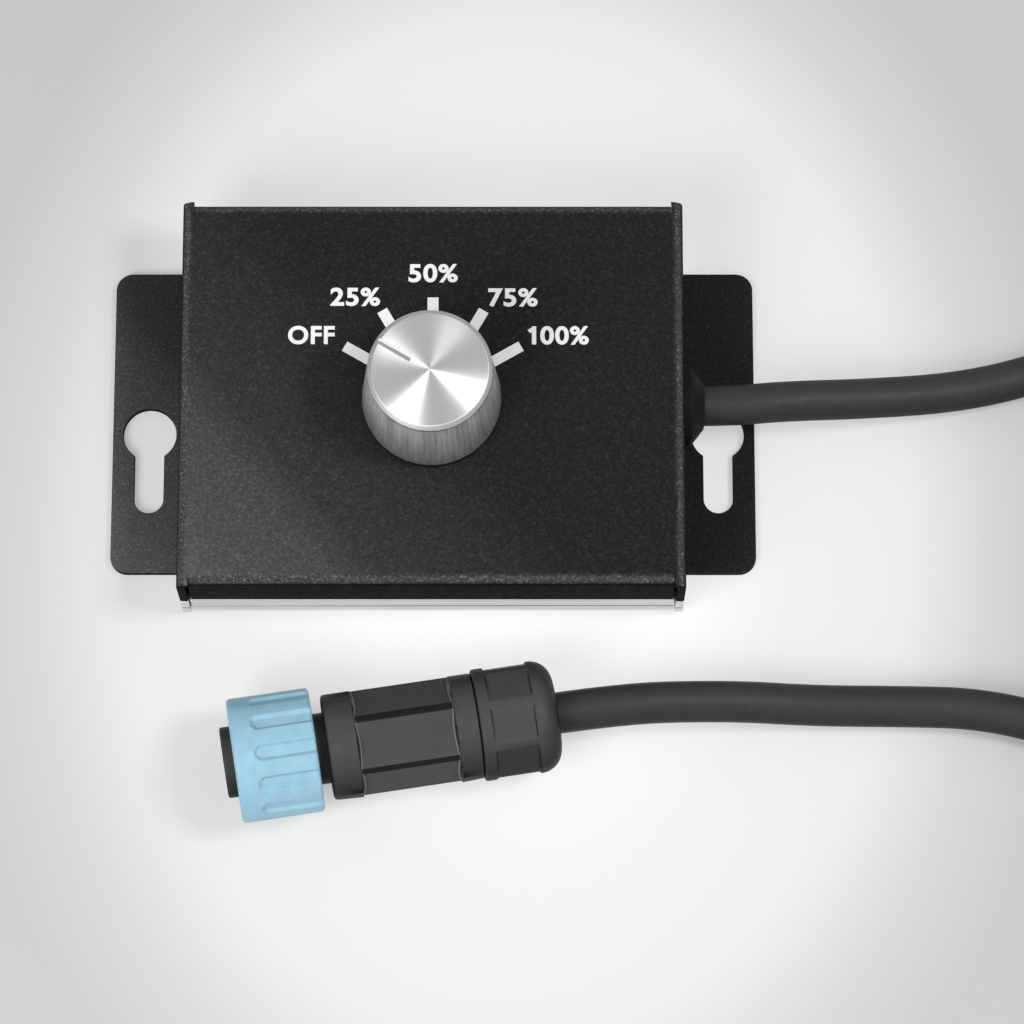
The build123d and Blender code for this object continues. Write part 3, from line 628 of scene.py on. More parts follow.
def bare_aluminium(finishes):
    """Mill-finish sheet with rolling lines along the box, and painted shade in its pressed line."""
    material, tree, shader = painted("bare_aluminium")
    lines = noise(tree, places(tree, (60, 3000, 3000)), 1.0, 3.0)
    base = tuple(finishes.aluminium)
    tone_elsewhere = mottled(tree, lines, base, 0.72, 0.88)
    groove_shade = mottled(tree, lines, base, 0.3, 0.45)
    # The pressed line half way up the walls is painted darker, as shade in the groove
    centimetres = height(tree, places(tree, (100, 100, 100)))
    groove = ramp(tree, centimetres, [(0.355, 0.0), (0.37, 1.0), (0.42, 1.0), (0.435, 0.0)])
    tone = blend(tree, groove, tone_elsewhere, groove_shade)
    gloss = ramp(tree, lines, [(0.3, 0.5), (0.7, 0.34)])
    give(shader, {"Base Color": tone, "Roughness": gloss, "Metallic": 0.85})
    return material


def spun_aluminium(finishes, name="spun_aluminium", roughness=0.41, brushed=0.93, tone=1.06):
    """Turned metal of the knob with fine circles, brushed on the crown and duller on the bevel."""
    material, tree, shader = painted(name)
    where = places(tree, location=-knob_axis)
    level = node(tree, "ShaderNodeVectorMath", {0: where, 1: (1, 1, 0)}, operation="MULTIPLY")
    out = node(tree, "ShaderNodeVectorMath", {0: level.outputs["Vector"]}, operation="LENGTH")
    radius = out.outputs["Value"]
    inputs = {"W": radius, "Scale": 9000, "Detail": 2.0}
    circles = node(tree, "ShaderNodeTexNoise", inputs, noise_dimensions="1D")
    base = shade(tuple(finishes.aluminium), tone)
    rings = mottled(tree, circles.outputs["Fac"], base, 0.94, 1.08)
    give(shader, {"Base Color": rings, "Roughness": roughness, "Metallic": 1.0})
    # A quarter turn spreads the shine across the circles, as turned metal does
    tangent = node(tree, "ShaderNodeTangent", direction_type="RADIAL", axis="Z").outputs["Tangent"]
    give(shader, {"Anisotropic": brushed, "Anisotropic Rotation": 0.25, "Tangent": tangent})
    # The shading follows a flat cone of about ten degrees
    slope = -0.18
    cone = node(tree, "ShaderNodeMath", {0: radius, 1: slope}, operation="MULTIPLY")
    bump(tree, shader, cone.outputs["Value"], 1.0, 1.0)
    return material


def knurled_aluminium(finishes):
    """Side of the knob: blasted metal with short upright streaks, with painted shade towards the foot."""
    material, tree, shader = painted("knurled_aluminium")
    streaks = noise(tree, places(tree, (1500, 1500, 90)), 1.0, 3.0)
    patches = noise(tree, places(tree, (500, 500, 40)), 1.0, 1.0)
    base = tuple(finishes.aluminium)
    stops = (0.35, 0.65)
    dark = mottled(tree, streaks, base, 0.65, 0.85, stops)
    bright = mottled(tree, streaks, base, 0.85, 1.1, stops)
    foot_shade = mottled(tree, streaks, base, 0.3, 0.55, stops)
    patched = blend(tree, ramp(tree, patches, [(0.4, 0.0), (0.6, 1.0)]), dark, bright)
    # From 0 at the foot to 1 at the top
    tall = knob_high.z - knob_low.z
    up = height(tree, places(tree, (1, 1, 1 / tall), (0, 0, -knob_low.z / tall)))
    # Painted shade darkens the side towards the foot
    tone = blend(tree, ramp(tree, up, [(0.1, 0.0), (0.75, 1.0)]), foot_shade, patched)
    gloss = ramp(tree, streaks, [(0.3, 0.55), (0.7, 0.4)])
    give(shader, {"Base Color": tone, "Roughness": gloss, "Metallic": 0.75})
    return material


def plated_steel(finishes):
    """Zinc plate with a faint mottle."""
    material, tree, shader = painted("zinc_steel")
    tone = mottled(tree, noise(tree, places(tree), 900, 3.0), tuple(finishes.zinc), 0.8, 1.0)
    give(shader, {"Base Color": tone, "Roughness": 0.32, "Metallic": 1.0})
    return material


def moulded(name, base, roughness, grain_scale, grain_depth, shine, under):
    """Moulded plastic or rubber with a fine skin grain, with painted shade on the sides so that the top looks lit.
    """
    material, tree, shader = painted(name)
    where = places(tree)
    grain = noise(tree, where, grain_scale, 3.0, 0.6)
    mottle = noise(tree, where, grain_scale / 3)
    lit_top = mottled(tree, mottle, base, 0.94, 1.06)
    tone_elsewhere = mottled(tree, mottle, base, 0.94 * under, 1.06 * under)
    # Faces that look up keep the base colour as painted light; the sides are painted darker by the share under, as
    # painted shade
    tone = blend(tree, ramp(tree, facing(tree), [(0.25, 0.0), (0.97, 1.0)]), tone_elsewhere, lit_top)
    gloss = ramp(tree, grain, [(0.3, roughness - 0.06), (0.7, roughness + 0.06)])
    give(shader, {"Base Color": tone, "Roughness": gloss, "Specular IOR Level": shine})
    bump(tree, shader, grain, 0.35, grain_depth)
    return material


def woven_strap(finishes):
    """Woven nylon band."""
    material, tree, shader = painted("strap_fabric")
    where = places(tree)
    threads = []
    for scale, way in ((700.0, "Y"), (500.0, "DIAGONAL")):
        inputs = {"Vector": where, "Scale": scale}
        wave = node(tree, "ShaderNodeTexWave", inputs, wave_type="BANDS", bands_direction=way)
        threads.append(wave.outputs["Fac"])
    both = node(tree, "ShaderNodeMath", {0: threads[0], 1: threads[1]}, operation="MULTIPLY")
    weave = both.outputs["Value"]
    tone = mottled(tree, weave, tuple(finishes.strap), 0.5, 2.2, (0.1, 0.8))
    give(shader, {"Base Color": tone, "Roughness": 0.85, "Sheen Weight": 0.3})
    bump(tree, shader, weave, 0.6, 0.0002)
    return material


def brass_contact(finishes):
    """Tinned brass."""
    material, tree, shader = painted("contact_brass")
    tone = mottled(tree, noise(tree, places(tree), 1200), tuple(finishes.brass), 0.85, 1.0)
    give(shader, {"Base Color": tone, "Roughness": 0.28, "Metallic": 1.0})
    return material


def slot_material(slot, finishes):
    """The finish of one of the record's slots, made once."""
    makers = {
        "black_powder_coat": powder_coat,
        "bare_aluminium": bare_aluminium,
        "spun_aluminium": spun_aluminium,
        "zinc_steel": plated_steel,
        "strap_fabric": woven_strap,
        "brass": brass_contact,
    }
    # Colour, roughness, scale and depth of the grain, shine, and how dark the painted shade makes the sides
    plain = {
        "black_plastic": (finishes.nylon, 0.5, 2500, 0.00004, 0.3, 0.6),
        "connector_plastic": (finishes.nylon, 0.5, 2200, 0.00005, 0.12, 0.15),
        "wrench_flats": (finishes.nylon, 0.6, 1100, 0.0001, 0.1, 0.9),
        # A painted highlight on the sloped ends of the wrench flats
        "flat_end_highlight": (shade(tuple(finishes.nylon), 2.5), 0.5, 2200, 0.00005, 0.3, 0.9),
        "blue_plastic": (finishes.blue, 0.42, 1800, 0.00003, 0.4, 0.9),
        "black_rubber": (finishes.rubber, 0.65, 2500, 0.00004, 0.12, 0.8),
        "cable_jacket": (finishes.jacket, 0.5, 2200, 0.00004, 0.15, 0.5),
        "circuit_board": (finishes.board, 0.35, 900, 0.00002, 0.5, 1.0),
        "wire_insulation": (finishes.wire, 0.35, 900, 0.00002, 0.5, 1.0),
    }
    if slot not in made_materials:
        if slot in makers:
            made_materials[slot] = makers[slot](finishes)
        else:
            base, *finish = plain[slot]
            made_materials[slot] = moulded(slot + "_finish", tuple(base), *finish)
    return made_materials[slot]


# Operators


class DIMMER_OT_stage(bpy.types.Operator):
    """Pale floor, soft studio light and the photograph's camera"""

    bl_idname = "dimmer.stage"
    bl_label = "Stage"

    def execute(self, context):
        stage = context.scene.dimmer_stage
        finishes = context.scene.dimmer_finishes
        context.scene.view_settings.view_transform = "Standard"
        start_clean()
        floor_drop = 0.0001
        bpy.ops.mesh.primitive_plane_add(size=8, location=(0, 0, -floor_drop))
        floor = context.object
        floor.name = "floor"
        target = Vector((stage.target_x, stage.target_y, 0))
        floor.data.materials.append(self.floor_paint(finishes, target))
        self.sky(context)
        self.lamp("key_softbox", place=(-0.27, -0.315, 0.43), size=0.3, power=2.3)
        self.lamp("side_softbox", place=(0.364, -0.03, 0.6), size=0.16, power=2.4)
        back = Vector((0, -cos(stage.elevation), sin(stage.elevation)))
        bpy.ops.object.camera_add(location=target + back * stage.distance)
        camera = context.object
        camera.rotation_mode = "QUATERNION"
        camera.rotation_quaternion = (-back).to_track_quat("-Z", "Y")
        camera.data.sensor_width = 36
        camera.data.lens = stage.lens
        camera.data.clip_start = 0.01
        context.scene.camera = camera
        return {"FINISHED"}

    def lamp(self, name, place, size, power):
        """One square softbox that faces the box."""
        bpy.ops.object.light_add(type="AREA", location=place)
        lamp = bpy.context.object
        lamp.name = name
        lamp.rotation_mode = "QUATERNION"
        lamp.rotation_quaternion = (-Vector(place)).to_track_quat("-Z", "Y")
        lamp.data.size = size
        lamp.data.energy = power

    def floor_paint(self, finishes, middle):
        """Pale floor that glows to the eye and in metal, most in the middle, and keeps the shadow."""
        material, tree, shader = painted("pale_floor")
        give(shader, {"Base Color": (*finishes.floor, 1), "Roughness": 0.8, "Specular IOR Level": 0.1})
        oval = Vector((12, 9, 9))
        where = places(tree, oval, -oval * middle)
        far = node(tree, "ShaderNodeVectorMath", {0: where}, operation="LENGTH")
        fade = [(0.0, 0.6), (0.3, 0.54), (0.5, 0.41), (0.7, 0.36), (0.85, 0.2), (1.0, 0.11)]
        light = ramp(tree, far.outputs["Value"], fade)
        glow = node(tree, "ShaderNodeEmission", {"Color": light, "Strength": 1.0})
        lit = node(tree, "ShaderNodeBsdfDiffuse", {"Color": (*shade(tuple(finishes.floor), 0.45), 1)})
        seen = node(tree, "ShaderNodeAddShader", {0: glow.outputs[0], 1: lit.outputs[0]})
        rays = node(tree, "ShaderNodeLightPath").outputs
        straight = rays["Is Camera Ray"]
        for kind in ("Is Glossy Ray", "Is Transmission Ray"):
            inputs = {0: straight, 1: rays[kind]}
            straight = node(tree, "ShaderNodeMath", inputs, operation="MAXIMUM").outputs[0]
        sides = {"Fac": straight, 1: shader.outputs[0], 2: seen.outputs[0]}
        choice = node(tree, "ShaderNodeMixShader", sides)
        give(tree.nodes["Material Output"], {"Surface": choice.outputs[0]})
        return material

    def sky(self, context):
        """Even pale surroundings."""
        world = context.scene.world or bpy.data.worlds.new("surroundings")
        context.scene.world = world
        world.use_nodes = True
        give(world.node_tree.nodes["Background"], {"Color": (0.9, 0.9, 0.9, 1), "Strength": 0.6})


class DIMMER_OT_cover(bpy.types.Operator):
    """Cover folded from one sheet, with its ears, flanges and holes"""

    bl_idname = "dimmer.cover"
    bl_label = "Folded cover"

    def execute(self, context):
        sizes = context.scene.dimmer_box
        cover = self.folded(sizes)
        modify(cover, "SOLIDIFY", thickness=sizes.sheet, offset=-1, use_even_offset=True)
        cut_away(cover, self.round_holes(sizes))
        cut_away(cover, self.slots(sizes))
        flange_end = tray_high.x - sizes.fold - 2 * sizes.slit
        slit_start = cover_high.y - sizes.flange_inset - sizes.fold - 2 * sizes.slit

        def in_slit(a, b):
            if min(abs(a.y), abs(b.y)) < slit_start:
                return False
            on_side = near(a.x, b.x) and 0 < abs(a.x) - flange_end + touch < sizes.slit + 2 * touch
            return on_side or (a - b).length < 1.5 * sizes.slit

        soften(cover, sizes.soft_edge, 50, in_slit)
        dress(cover, "black_powder_coat", "enclosure", ("cover",))
        return {"FINISHED"}

    def folded(self, sizes):
        """The sheet's outer surface: panel, flanges, side walls and ears."""
        top = cover_high.z
        half_length = tray_high.x
        half_depth = cover_high.y
        flange_y = half_depth - sizes.flange_inset
        flange_x = half_length - sizes.fold - sizes.slit
        slit_y = flange_y - sizes.fold - sizes.slit
        ear_y = sizes.ear_depth / 2
        cover = add_plane("folded_cover", 2 * half_length, 2 * half_depth, top)
        edit(cover)
        cut_lines("X", (-flange_x, sizes.slit - flange_x, flange_x - sizes.slit, flange_x))
        cut_lines("Y", (-slit_y, -ear_y, ear_y, slit_y))
        # Slits part the flanges from the side walls
        pick(cover, "FACE", lambda p: flange_x - sizes.slit < abs(p.x) < flange_x and abs(p.y) > slit_y)
        bpy.ops.mesh.delete(type="FACE")
        slit_x = flange_x - sizes.slit / 2
        for side in (-1, 1):
            pick(cover, "VERT", lambda p: near(p.y, side * half_depth) and abs(p.x) < slit_x)
            bpy.ops.transform.translate(value=(0, -side * sizes.flange_inset, 0))
        # Flanges and side walls fold down, and the ears fold out again
        pick(cover, "EDGE", lambda p: near(abs(p.y), flange_y))
        pull((0, 0, sizes.flange_bottom - top))
        pick(cover, "EDGE", lambda p: near(abs(p.x), half_length))
        pull((0, 0, sizes.flange_bottom - top))

        def over_ear(p):
            return near(abs(p.x), half_length) and near(p.z, sizes.flange_bottom) and abs(p.y) < ear_y + touch

        pick(cover, "EDGE", over_ear)
        pull((0, 0, sizes.sheet - sizes.flange_bottom))
        for side in (-1, 1):
            pick(cover, "EDGE", lambda p: near(p.x, side * half_length) and near(p.z, sizes.sheet))
            pull((side * (cover_high.x - half_length), 0, 0))
        pick(cover, "EDGE", lambda p: near(abs(p.x), half_length) and near(p.z, top))
        round_edges(sizes.fold, 6)
        pick(cover, "EDGE", lambda p: near(abs(p.y), flange_y) and near(p.z, top))
        round_edges(sizes.fold, 6)
        pick(cover, "EDGE", lambda p: near(abs(p.x), half_length) and near(p.z, sizes.sheet))
        round_edges(sizes.ear_fold, 4)
        pick(cover, "VERT", lambda p: near(abs(p.x), cover_high.x) and near(abs(p.y), ear_y))
        bpy.ops.mesh.bevel(offset=sizes.ear_corner, segments=8, affect="VERTICES", clamp_overlap=False)
        face_out(cover, (0, 0, 1))
        return cover

    def round_holes(self, sizes):
        """Cutters for the keyhole heads, the switch and the cable."""
        ear_x = (tray_high.x + cover_high.x) / 2
        exit_y = (grommet_low.y + grommet_high.y) / 2
        exit_z = (grommet_low.z + grommet_high.z) / 2
        up = Vector((0, 0, 3 * sizes.sheet))
        out = Vector((3 * sizes.sheet, 0, 0))
        holes = [
            ("head", sizes.keyhole_head, (-ear_x, sizes.keyhole_y, 0), up),
            ("head", sizes.keyhole_head, (ear_x, sizes.keyhole_y, 0), up),
            ("switch", sizes.bushing_hole, (knob_axis.x, knob_axis.y, cover_high.z), up),
            ("entry", sizes.cable_hole, (tray_high.x, exit_y, exit_z), out),
        ]
        return [
            add_rod(name, diameter / 2, Vector(place) - reach, Vector(place) + reach)
            for name, diameter, place, reach in holes
        ]

    def slots(self, sizes):
        """Cutters for the keyhole slots, round at their far end."""
        ear_x = (tray_high.x + cover_high.x) / 2
        half = sizes.keyhole_slot / 2
        reach = 3 * sizes.sheet
        end_y = sizes.keyhole_y - sizes.keyhole_run - half
        made = []
        for side in (-1, 1):
            low = (side * ear_x - half, end_y, -reach)
            slot = add_block("slot", low, (side * ear_x + half, sizes.keyhole_y, reach))
            edit(slot)
            pick(slot, "EDGE", lambda p: near(p.y, end_y))
            drop_edges(slot, lambda a, b: near(a.z, b.z))
            # Just short of a half circle, so that both roundings keep an edge between them
            round_edges(half * 0.999, 12)
            made.append(slot)
        return made


class DIMMER_OT_tray(bpy.types.Operator):
    """Bare tray folded from one sheet, with pressed lines and sunk screw holes"""

    bl_idname = "dimmer.tray"
    bl_label = "Base tray"

    def execute(self, context):
        sizes = context.scene.dimmer_box
        tray = self.folded(sizes)
        modify(tray, "SOLIDIFY", thickness=sizes.sheet, offset=-1, use_even_offset=True)
        posts = [Vector((x * sizes.post_x, y * sizes.post_y, 0)) for x in (-1, 1) for y in (-1, 1)]
        head_r = 0.0025
        shank_r = 0.0013
        below = Vector((0, 0, -0.0001))
        sunk = Vector((0, 0, 0.0011))
        through = Vector((0, 0, 2 * sizes.sheet))
        cut_away(tray, [add_rod("sink", head_r, post + below, post + sunk, 32, shank_r) for post in posts])
        cut_away(tray, [add_rod("shank", shank_r, post + below, post + through, 32) for post in posts])
        soften(tray, sizes.soft_edge / 2, 50)
        dress(tray, "bare_aluminium", "enclosure", ("base_tray",))
        return {"FINISHED"}

    def folded(self, sizes):
        """The sheet's outer surface: bottom, two walls and four corner tabs."""
        rim = tray_high.z
        wall_x = tray_high.x - sizes.sheet - sizes.tab_gap
        wall_y = tray_high.y - sizes.flange_inset
        tab_y = sizes.ear_depth / 2 + sizes.tab_gap
        relief_y = wall_y - sizes.fold
        tray = add_plane("base_sheet", 2 * wall_x, 2 * wall_y, 0)
        edit(tray)
        cut_lines("Y", (-relief_y, -tab_y, tab_y, relief_y))
        pick(tray, "EDGE", lambda p: near(abs(p.y), wall_y))
        pull((0, 0, rim))

        def at_tab(p):
            return near(p.z, 0) and tab_y - touch < abs(p.y) < relief_y + touch

        for side in (-1, 1):
            pick(tray, "EDGE", lambda p: near(p.x, side * wall_x) and at_tab(p))
            # The long edge between the two tabs passes by its ends, but is not pulled
            drop_edges(tray, lambda a, b: (a - b).length > 2 * tab_y - 10 * touch)
            pull((side * (tray_high.x - wall_x), 0, 0))
            pull((0, 0, rim))
        pick(tray, "EDGE", lambda p: near(abs(p.y), wall_y) and near(p.z, 0))
        round_edges(sizes.fold, 6)
        pick(tray, "EDGE", lambda p: near(abs(p.x), tray_high.x) and near(p.z, 0))
        round_edges(sizes.fold - sizes.tab_gap, 6)
        # The tabs reach the box's corners above the folds
        for side in (-1, 1):
            pick(tray, "EDGE", lambda p: near(abs(p.x), tray_high.x) and near(p.y, side * relief_y))
            pull((0, side * (tray_high.y - relief_y), 0))
        # Pressed line half way up the walls
        middle = sizes.flange_bottom / 2
        half = sizes.bead_height / 2
        cut_lines("Z", [middle + share * half for share in (-1.3, -0.8, 0.8, 1.3)])
        for side in (-1, 1):
            pick(tray, "VERT", lambda p: near(p.y, side * wall_y) and abs(p.z - middle) < half)
            bpy.ops.transform.translate(value=(0, -side * sizes.bead, 0))
        face_out(tray, (0, 0, -1))
        return tray


class DIMMER_OT_dial(bpy.types.Operator):
    """Screen print of the dial: five marks and their labels"""

    bl_idname = "dimmer.dial"
    bl_label = "Dial print"

    def execute(self, context):
        sizes = context.scene.dimmer_box
        knob = context.scene.dimmer_knob
        ink = screen_print(context.scene.dimmer_finishes)
        top = cover_high.z
        middle = Vector((sizes.dial_x, sizes.dial_y, 0))
        low = middle + Vector((sizes.tick_start, -sizes.tick_width / 2, top))
        high = middle + Vector((sizes.tick_end, sizes.tick_width / 2, top + sizes.print_thick))
        tick = add_block("tick", low, high)
        ticks = join(around(tick, 5, -knob.step_angle, knob.off_angle, middle), "dial_marks")
        dress(ticks, "black_powder_coat", "enclosure", material=ink)
        # Middle and widening of each label
        spots = {
            "OFF": (-0.0175, 0.0085, 1.0),
            "25%": (-0.0112, 0.0143, 1.11),
            "50%": (0.0001, 0.0179, 1.11),
            "75%": (0.0117, 0.0142, 1.11),
            "100%": (0.01825, 0.00845, 1.08),
        }
        labels = [
            self.label(words, Vector((x, y, top)), wide, sizes) for words, (x, y, wide) in spots.items()
        ]
        dress(join(labels, "dial_labels"), "black_powder_coat", "enclosure", material=ink)
        return {"FINISHED"}

    def label(self, words, place, wide, sizes):
        """One printed label as a thin mesh."""
        start_clean()
        bpy.ops.object.text_add()
        text = bpy.context.object
        text.data.body = words
        text.data.align_x = "CENTER"
        text.data.align_y = "CENTER"
        # Height of the font's capitals as a share of its size
        capital = 0.73
        text.data.size = sizes.label_height / capital
        text.data.offset = sizes.label_bold
        text.data.space_character = 1.08
        text.data.resolution_u = 6
        text.data.extrude = sizes.print_thick / 2
        bpy.ops.object.convert(target="MESH")
        label = bpy.context.object
        if words.startswith("1"):
            label = self.flagged(label, sizes)
        xs = [vert.co.x for vert in label.data.vertices]
        ys = [vert.co.y for vert in label.data.vertices]
        middle = Vector(((min(xs) + max(xs)) / 2, (min(ys) + max(ys)) / 2, 0))
        middle.x *= wide
        label.scale = (wide, 1, 1)
        label.location = place - middle + Vector((0, 0, sizes.print_thick / 2))
        settle(label)
        return label

    def flagged(self, label, sizes):
        """The plain stroke of a leading one gets a slanted flag."""
        # All sizes of the flag follow the width of a stroke
        stroke = 0.23 * sizes.label_height
        left = min(vert.co.x for vert in label.data.vertices)
        top = max(vert.co.y for vert in label.data.vertices if vert.co.x < left + stroke)
        edit(label)
        pick(label, "VERT", lambda p: p.x < left + stroke)
        bpy.ops.transform.translate(value=(0.4 * stroke, 0, 0))
        half = sizes.print_thick / 2
        low = (-1.25 * stroke, -0.45 * stroke, -half)
        flag = add_block("flag", low, (0.2 * stroke, 0.45 * stroke, half / 2))
        place = Matrix.Translation((left + 0.75 * stroke, top - 0.58 * stroke, 0))
        lay(flag, place @ Matrix.Rotation(radians(35), 4, "Z"))
        return join([label, flag], "label")


class DIMMER_OT_knob(bpy.types.Operator):
    """Turned knob with its knurl, bevel, spun crown and pointer line"""

    bl_idname = "dimmer.knob"
    bl_label = "Knob"

    def execute(self, context):
        sizes = context.scene.dimmer_knob
        low = knob_low.z
        high = knob_high.z
        top_r = sizes.top / 2
        crown_r = top_r - sizes.bevel
        columns = 6 * sizes.knurl
        knob = turned("turned_knob", self.section(sizes), columns, closed=False)
        # Two columns in six of the side are pressed in to a groove that runs out at the foot
        run_out = 0.001
        margin = 0.0001
        knurl_low = low + sizes.foot + run_out
        knurl_high = high - 2 * sizes.bevel - margin
        column = 2 * pi / columns

        def in_groove(p):
            if not knurl_low < p.z < knurl_high or p.xy.length < top_r - 2 * margin:
                return False
            return round(p.xy.angle_signed(Vector((1, 0))) / column) % 6 < 2

        pick(knob, "VERT", in_groove)
        pressed = 1 - sizes.knurl_depth / top_r
        bpy.ops.transform.resize(value=(pressed, pressed, 1), center_override=(0, 0, 0))
        # The pointer line is a groove with one steep and one flatter side, as wide as stated at the rim
        depth = sizes.pointer_depth + sizes.cone
        half = sizes.pointer_width / 2 * depth / sizes.pointer_depth
        floor_share = 0.05
        floor_shift = half / 5
        corner = (sizes.pointer_start, -half, high - depth)
        pointer = add_block("pointer", corner, (crown_r + 2 * margin, half, high))
        edit(pointer)
        pick(pointer, "FACE", lambda p: near(p.z, high - depth))
        bpy.ops.transform.resize(value=(1, floor_share, 1), center_override=(0, 0, 0))
        bpy.ops.transform.translate(value=(0, -floor_shift, 0))
        cut_away(knob, around(pointer, 1, 0.0, sizes.off_angle))
        lay(knob, Matrix.Translation(knob_axis))
        dress(knob, "spun_aluminium", "knob", ("knob_cap",), smooth=25)
        # The side, the bevel and the pointer line are rougher than the spun crown, and two lines are painted dark:
        # a painted shadow round the foot and painted shade in the turned line under the bevel
        finishes = context.scene.dimmer_finishes
        knob.data.materials.append(knurled_aluminium(finishes))
        knob.data.materials.append(spun_aluminium(finishes, "cut_aluminium", 0.5, 0.0, 0.75))
        knob.data.materials.append(slot_material("black_rubber", finishes))
        for face in knob.data.polygons:
            face.material_index = self.finish_of(face, sizes)
        return {"FINISHED"}

    def finish_of(self, face, sizes):
        """Which finish a face has: 0 spun, 1 knurled, 2 cut or 3 painted shade."""
        z = face.center.z
        high = knob_high.z
        top_r = sizes.top / 2
        # Upward part of the normal under which a face is upright, and over which it is level
        upright = 0.4
        level = 0.985
        # The band round the foot is painted dark as the shadow under the knob
        if z < knob_low.z + sizes.rim:
            return 3
        # The turned line under the bevel is painted dark, as shade in the groove
        out = (face.center.xy - knob_axis.xy).length
        in_line = top_r - 2 * sizes.ring < out < top_r - sizes.ring / 4
        if in_line and high - 2 * sizes.bevel < z < high - sizes.bevel:
            return 3
        if abs(face.normal.z) < upright and z < high - sizes.bevel / 2:
            return 1
        if face.normal.z < level or z < high - sizes.pointer_depth / 2:
            return 2
        return 0

    def section(self, sizes):
        """Half section of the cap, from inside its crown round to the top."""
        low = knob_low.z
        high = knob_high.z
        base_r = (knob_high.x - knob_low.x) / 2
        top_r = sizes.top / 2
        crown_r = top_r - sizes.bevel
        bore_r = top_r - sizes.wall
        knurl_low = low + sizes.foot
        knurl_high = high - 2 * sizes.bevel
        side_end = high - sizes.bevel
        soft = 0.00012

        def side(z):
            return base_r - (base_r - top_r) * (z - knurl_low) / (side_end - knurl_low)

        points = [(0, high - sizes.crown), (bore_r, high - sizes.crown), (bore_r, low)]
        # The ring at this height ends the painted shadow round the foot
        points += [(base_r - soft, low), (base_r, low + soft), (base_r, low + sizes.rim), (base_r, knurl_low)]
        row = 0.0002
        points += [(side(z), z) for z in (knurl_low + row, knurl_high - row, knurl_high)]
        ring_low = knurl_high + sizes.ring / 2
        ring_high = ring_low + sizes.ring
        points += [(side(ring_low), ring_low), (side(ring_low) - sizes.ring, ring_low + soft / 4)]
        points += [(side(ring_high) - sizes.ring, ring_high - soft / 4), (side(ring_high), ring_high)]
        points += [(top_r, side_end - soft), (top_r - soft * 0.6, side_end + soft * 0.4)]
        rim = high - sizes.cone
        points += [(crown_r + soft * 0.7, rim - soft * 0.7), (crown_r, rim - soft * 0.2)]
        points += [(crown_r - soft, rim)]
        rings = 6
        for i in range(1, rings + 1):
            share = i / rings
            points.append((crown_r * (1 - share), rim + sizes.cone * share))
        return points


class DIMMER_OT_grommet(bpy.types.Operator):
    """Rubber grommet in the side wall"""

    bl_idname = "dimmer.grommet"
    bl_label = "Cable grommet"

    def execute(self, context):
        sizes = context.scene.dimmer_box
        bore = context.scene.dimmer_cord.diameter / 2
        flange = (grommet_high.y - grommet_low.y) / 2
        wall = tray_high.x - grommet_low.x
        inner = wall - sizes.sheet
        end = grommet_high.x - grommet_low.x
        lip = wall + sizes.grommet_lip
        nose = sizes.grommet_nose / 2
        neck = sizes.cable_hole / 2 - sizes.tab_gap / 2
        section = [(bore, 0), (flange, 0), (flange, inner), (neck, inner), (neck, wall), (flange, wall)]
        lip_round = 0.0006
        lip_drop = 0.0004
        nose_round = 0.0005
        section += arc(flange - lip_round, lip - lip_drop, lip_round, 0, 55, 5)
        section += arc(nose - nose_round, end - nose_round, nose_round, 40, 90, 5)
        section += [(bore, end)]
        grommet = turned("cable_bush", section, 72)
        middle = (grommet_low + grommet_high) / 2
        turn = Matrix(((0, 0, 1), (0, 1, 0), (-1, 0, 0))).to_4x4()
        lay(grommet, Matrix.Translation((grommet_low.x, middle.y, middle.z)) @ turn)
        dress(grommet, "black_rubber", "enclosure", ("cable_grommet",))
        return {"FINISHED"}


class DIMMER_OT_coupling_nut(bpy.types.Operator):
    """Blue coupling nut with a threaded mouth and wide grip flutes"""

    bl_idname = "dimmer.coupling_nut"
    bl_label = "Coupling nut"

    def execute(self, context):
        sizes = context.scene.dimmer_plug
        outer = sizes.nut / 2
        bore = sizes.nut_bore / 2
        rear = sizes.neck / 2 + sizes.nut_play
        end = sizes.nut_length
        lip = end - sizes.nut_lip
        corner = sizes.nut_round
        band = sizes.nut_band
        # The flutes start in two rows, the first one narrower
        first_row = 0.00035
        second_row = 0.0008
        lead_in = 0.0003
        steps = 12
        section = [(bore + lead_in, 0)] + arc(outer - corner, corner, corner, -90, 0, 5)
        section += [(outer, band), (outer, band + first_row), (outer, band + second_row)]
        section += arc(outer - corner, end - corner, corner, 0, 90, 5)
        section += [(rear, end), (rear, lip), (bore, lip)]
        # Rings of the thread in the mouth
        rings = 6
        thread = 0.00035
        plain = 0.001
        pitch = (lip - plain) / rings
        for i in range(rings):
            start = lip - pitch * (i + 0.2)
            section += [(bore, start), (bore - thread, start - 0.4 * pitch), (bore, start - 0.8 * pitch)]
        nut = turned("coupling_ring", section, steps * sizes.flutes)
        column = 2 * pi / (steps * sizes.flutes)
        first = round(sizes.flute_start / column)

        def place_in_flute(p):
            return (round(Vector((1, 0)).angle_signed(p.xy) / -column) - first + 3) % steps

        def pressed(p):
            if p.xy.length < outer - corner - touch:
                return False
            spot = place_in_flute(p)
            if p.z > band + (first_row + second_row) / 2:
                return 1 <= spot <= 5
            return p.z > band + first_row / 2 and 2 <= spot <= 4

        pick(nut, "VERT", pressed)
        inward = 1 - sizes.flute_depth / outer
        bpy.ops.transform.resize(value=(inward, inward, 1), center_override=(0, 0, 0))
        soft = 0.00012
        soften(nut, soft, 32)
        lay(nut, plug_place(sizes))
        dress(nut, "blue_plastic", "coupling", ("coupling_nut",), smooth=40)
        return {"FINISHED"}


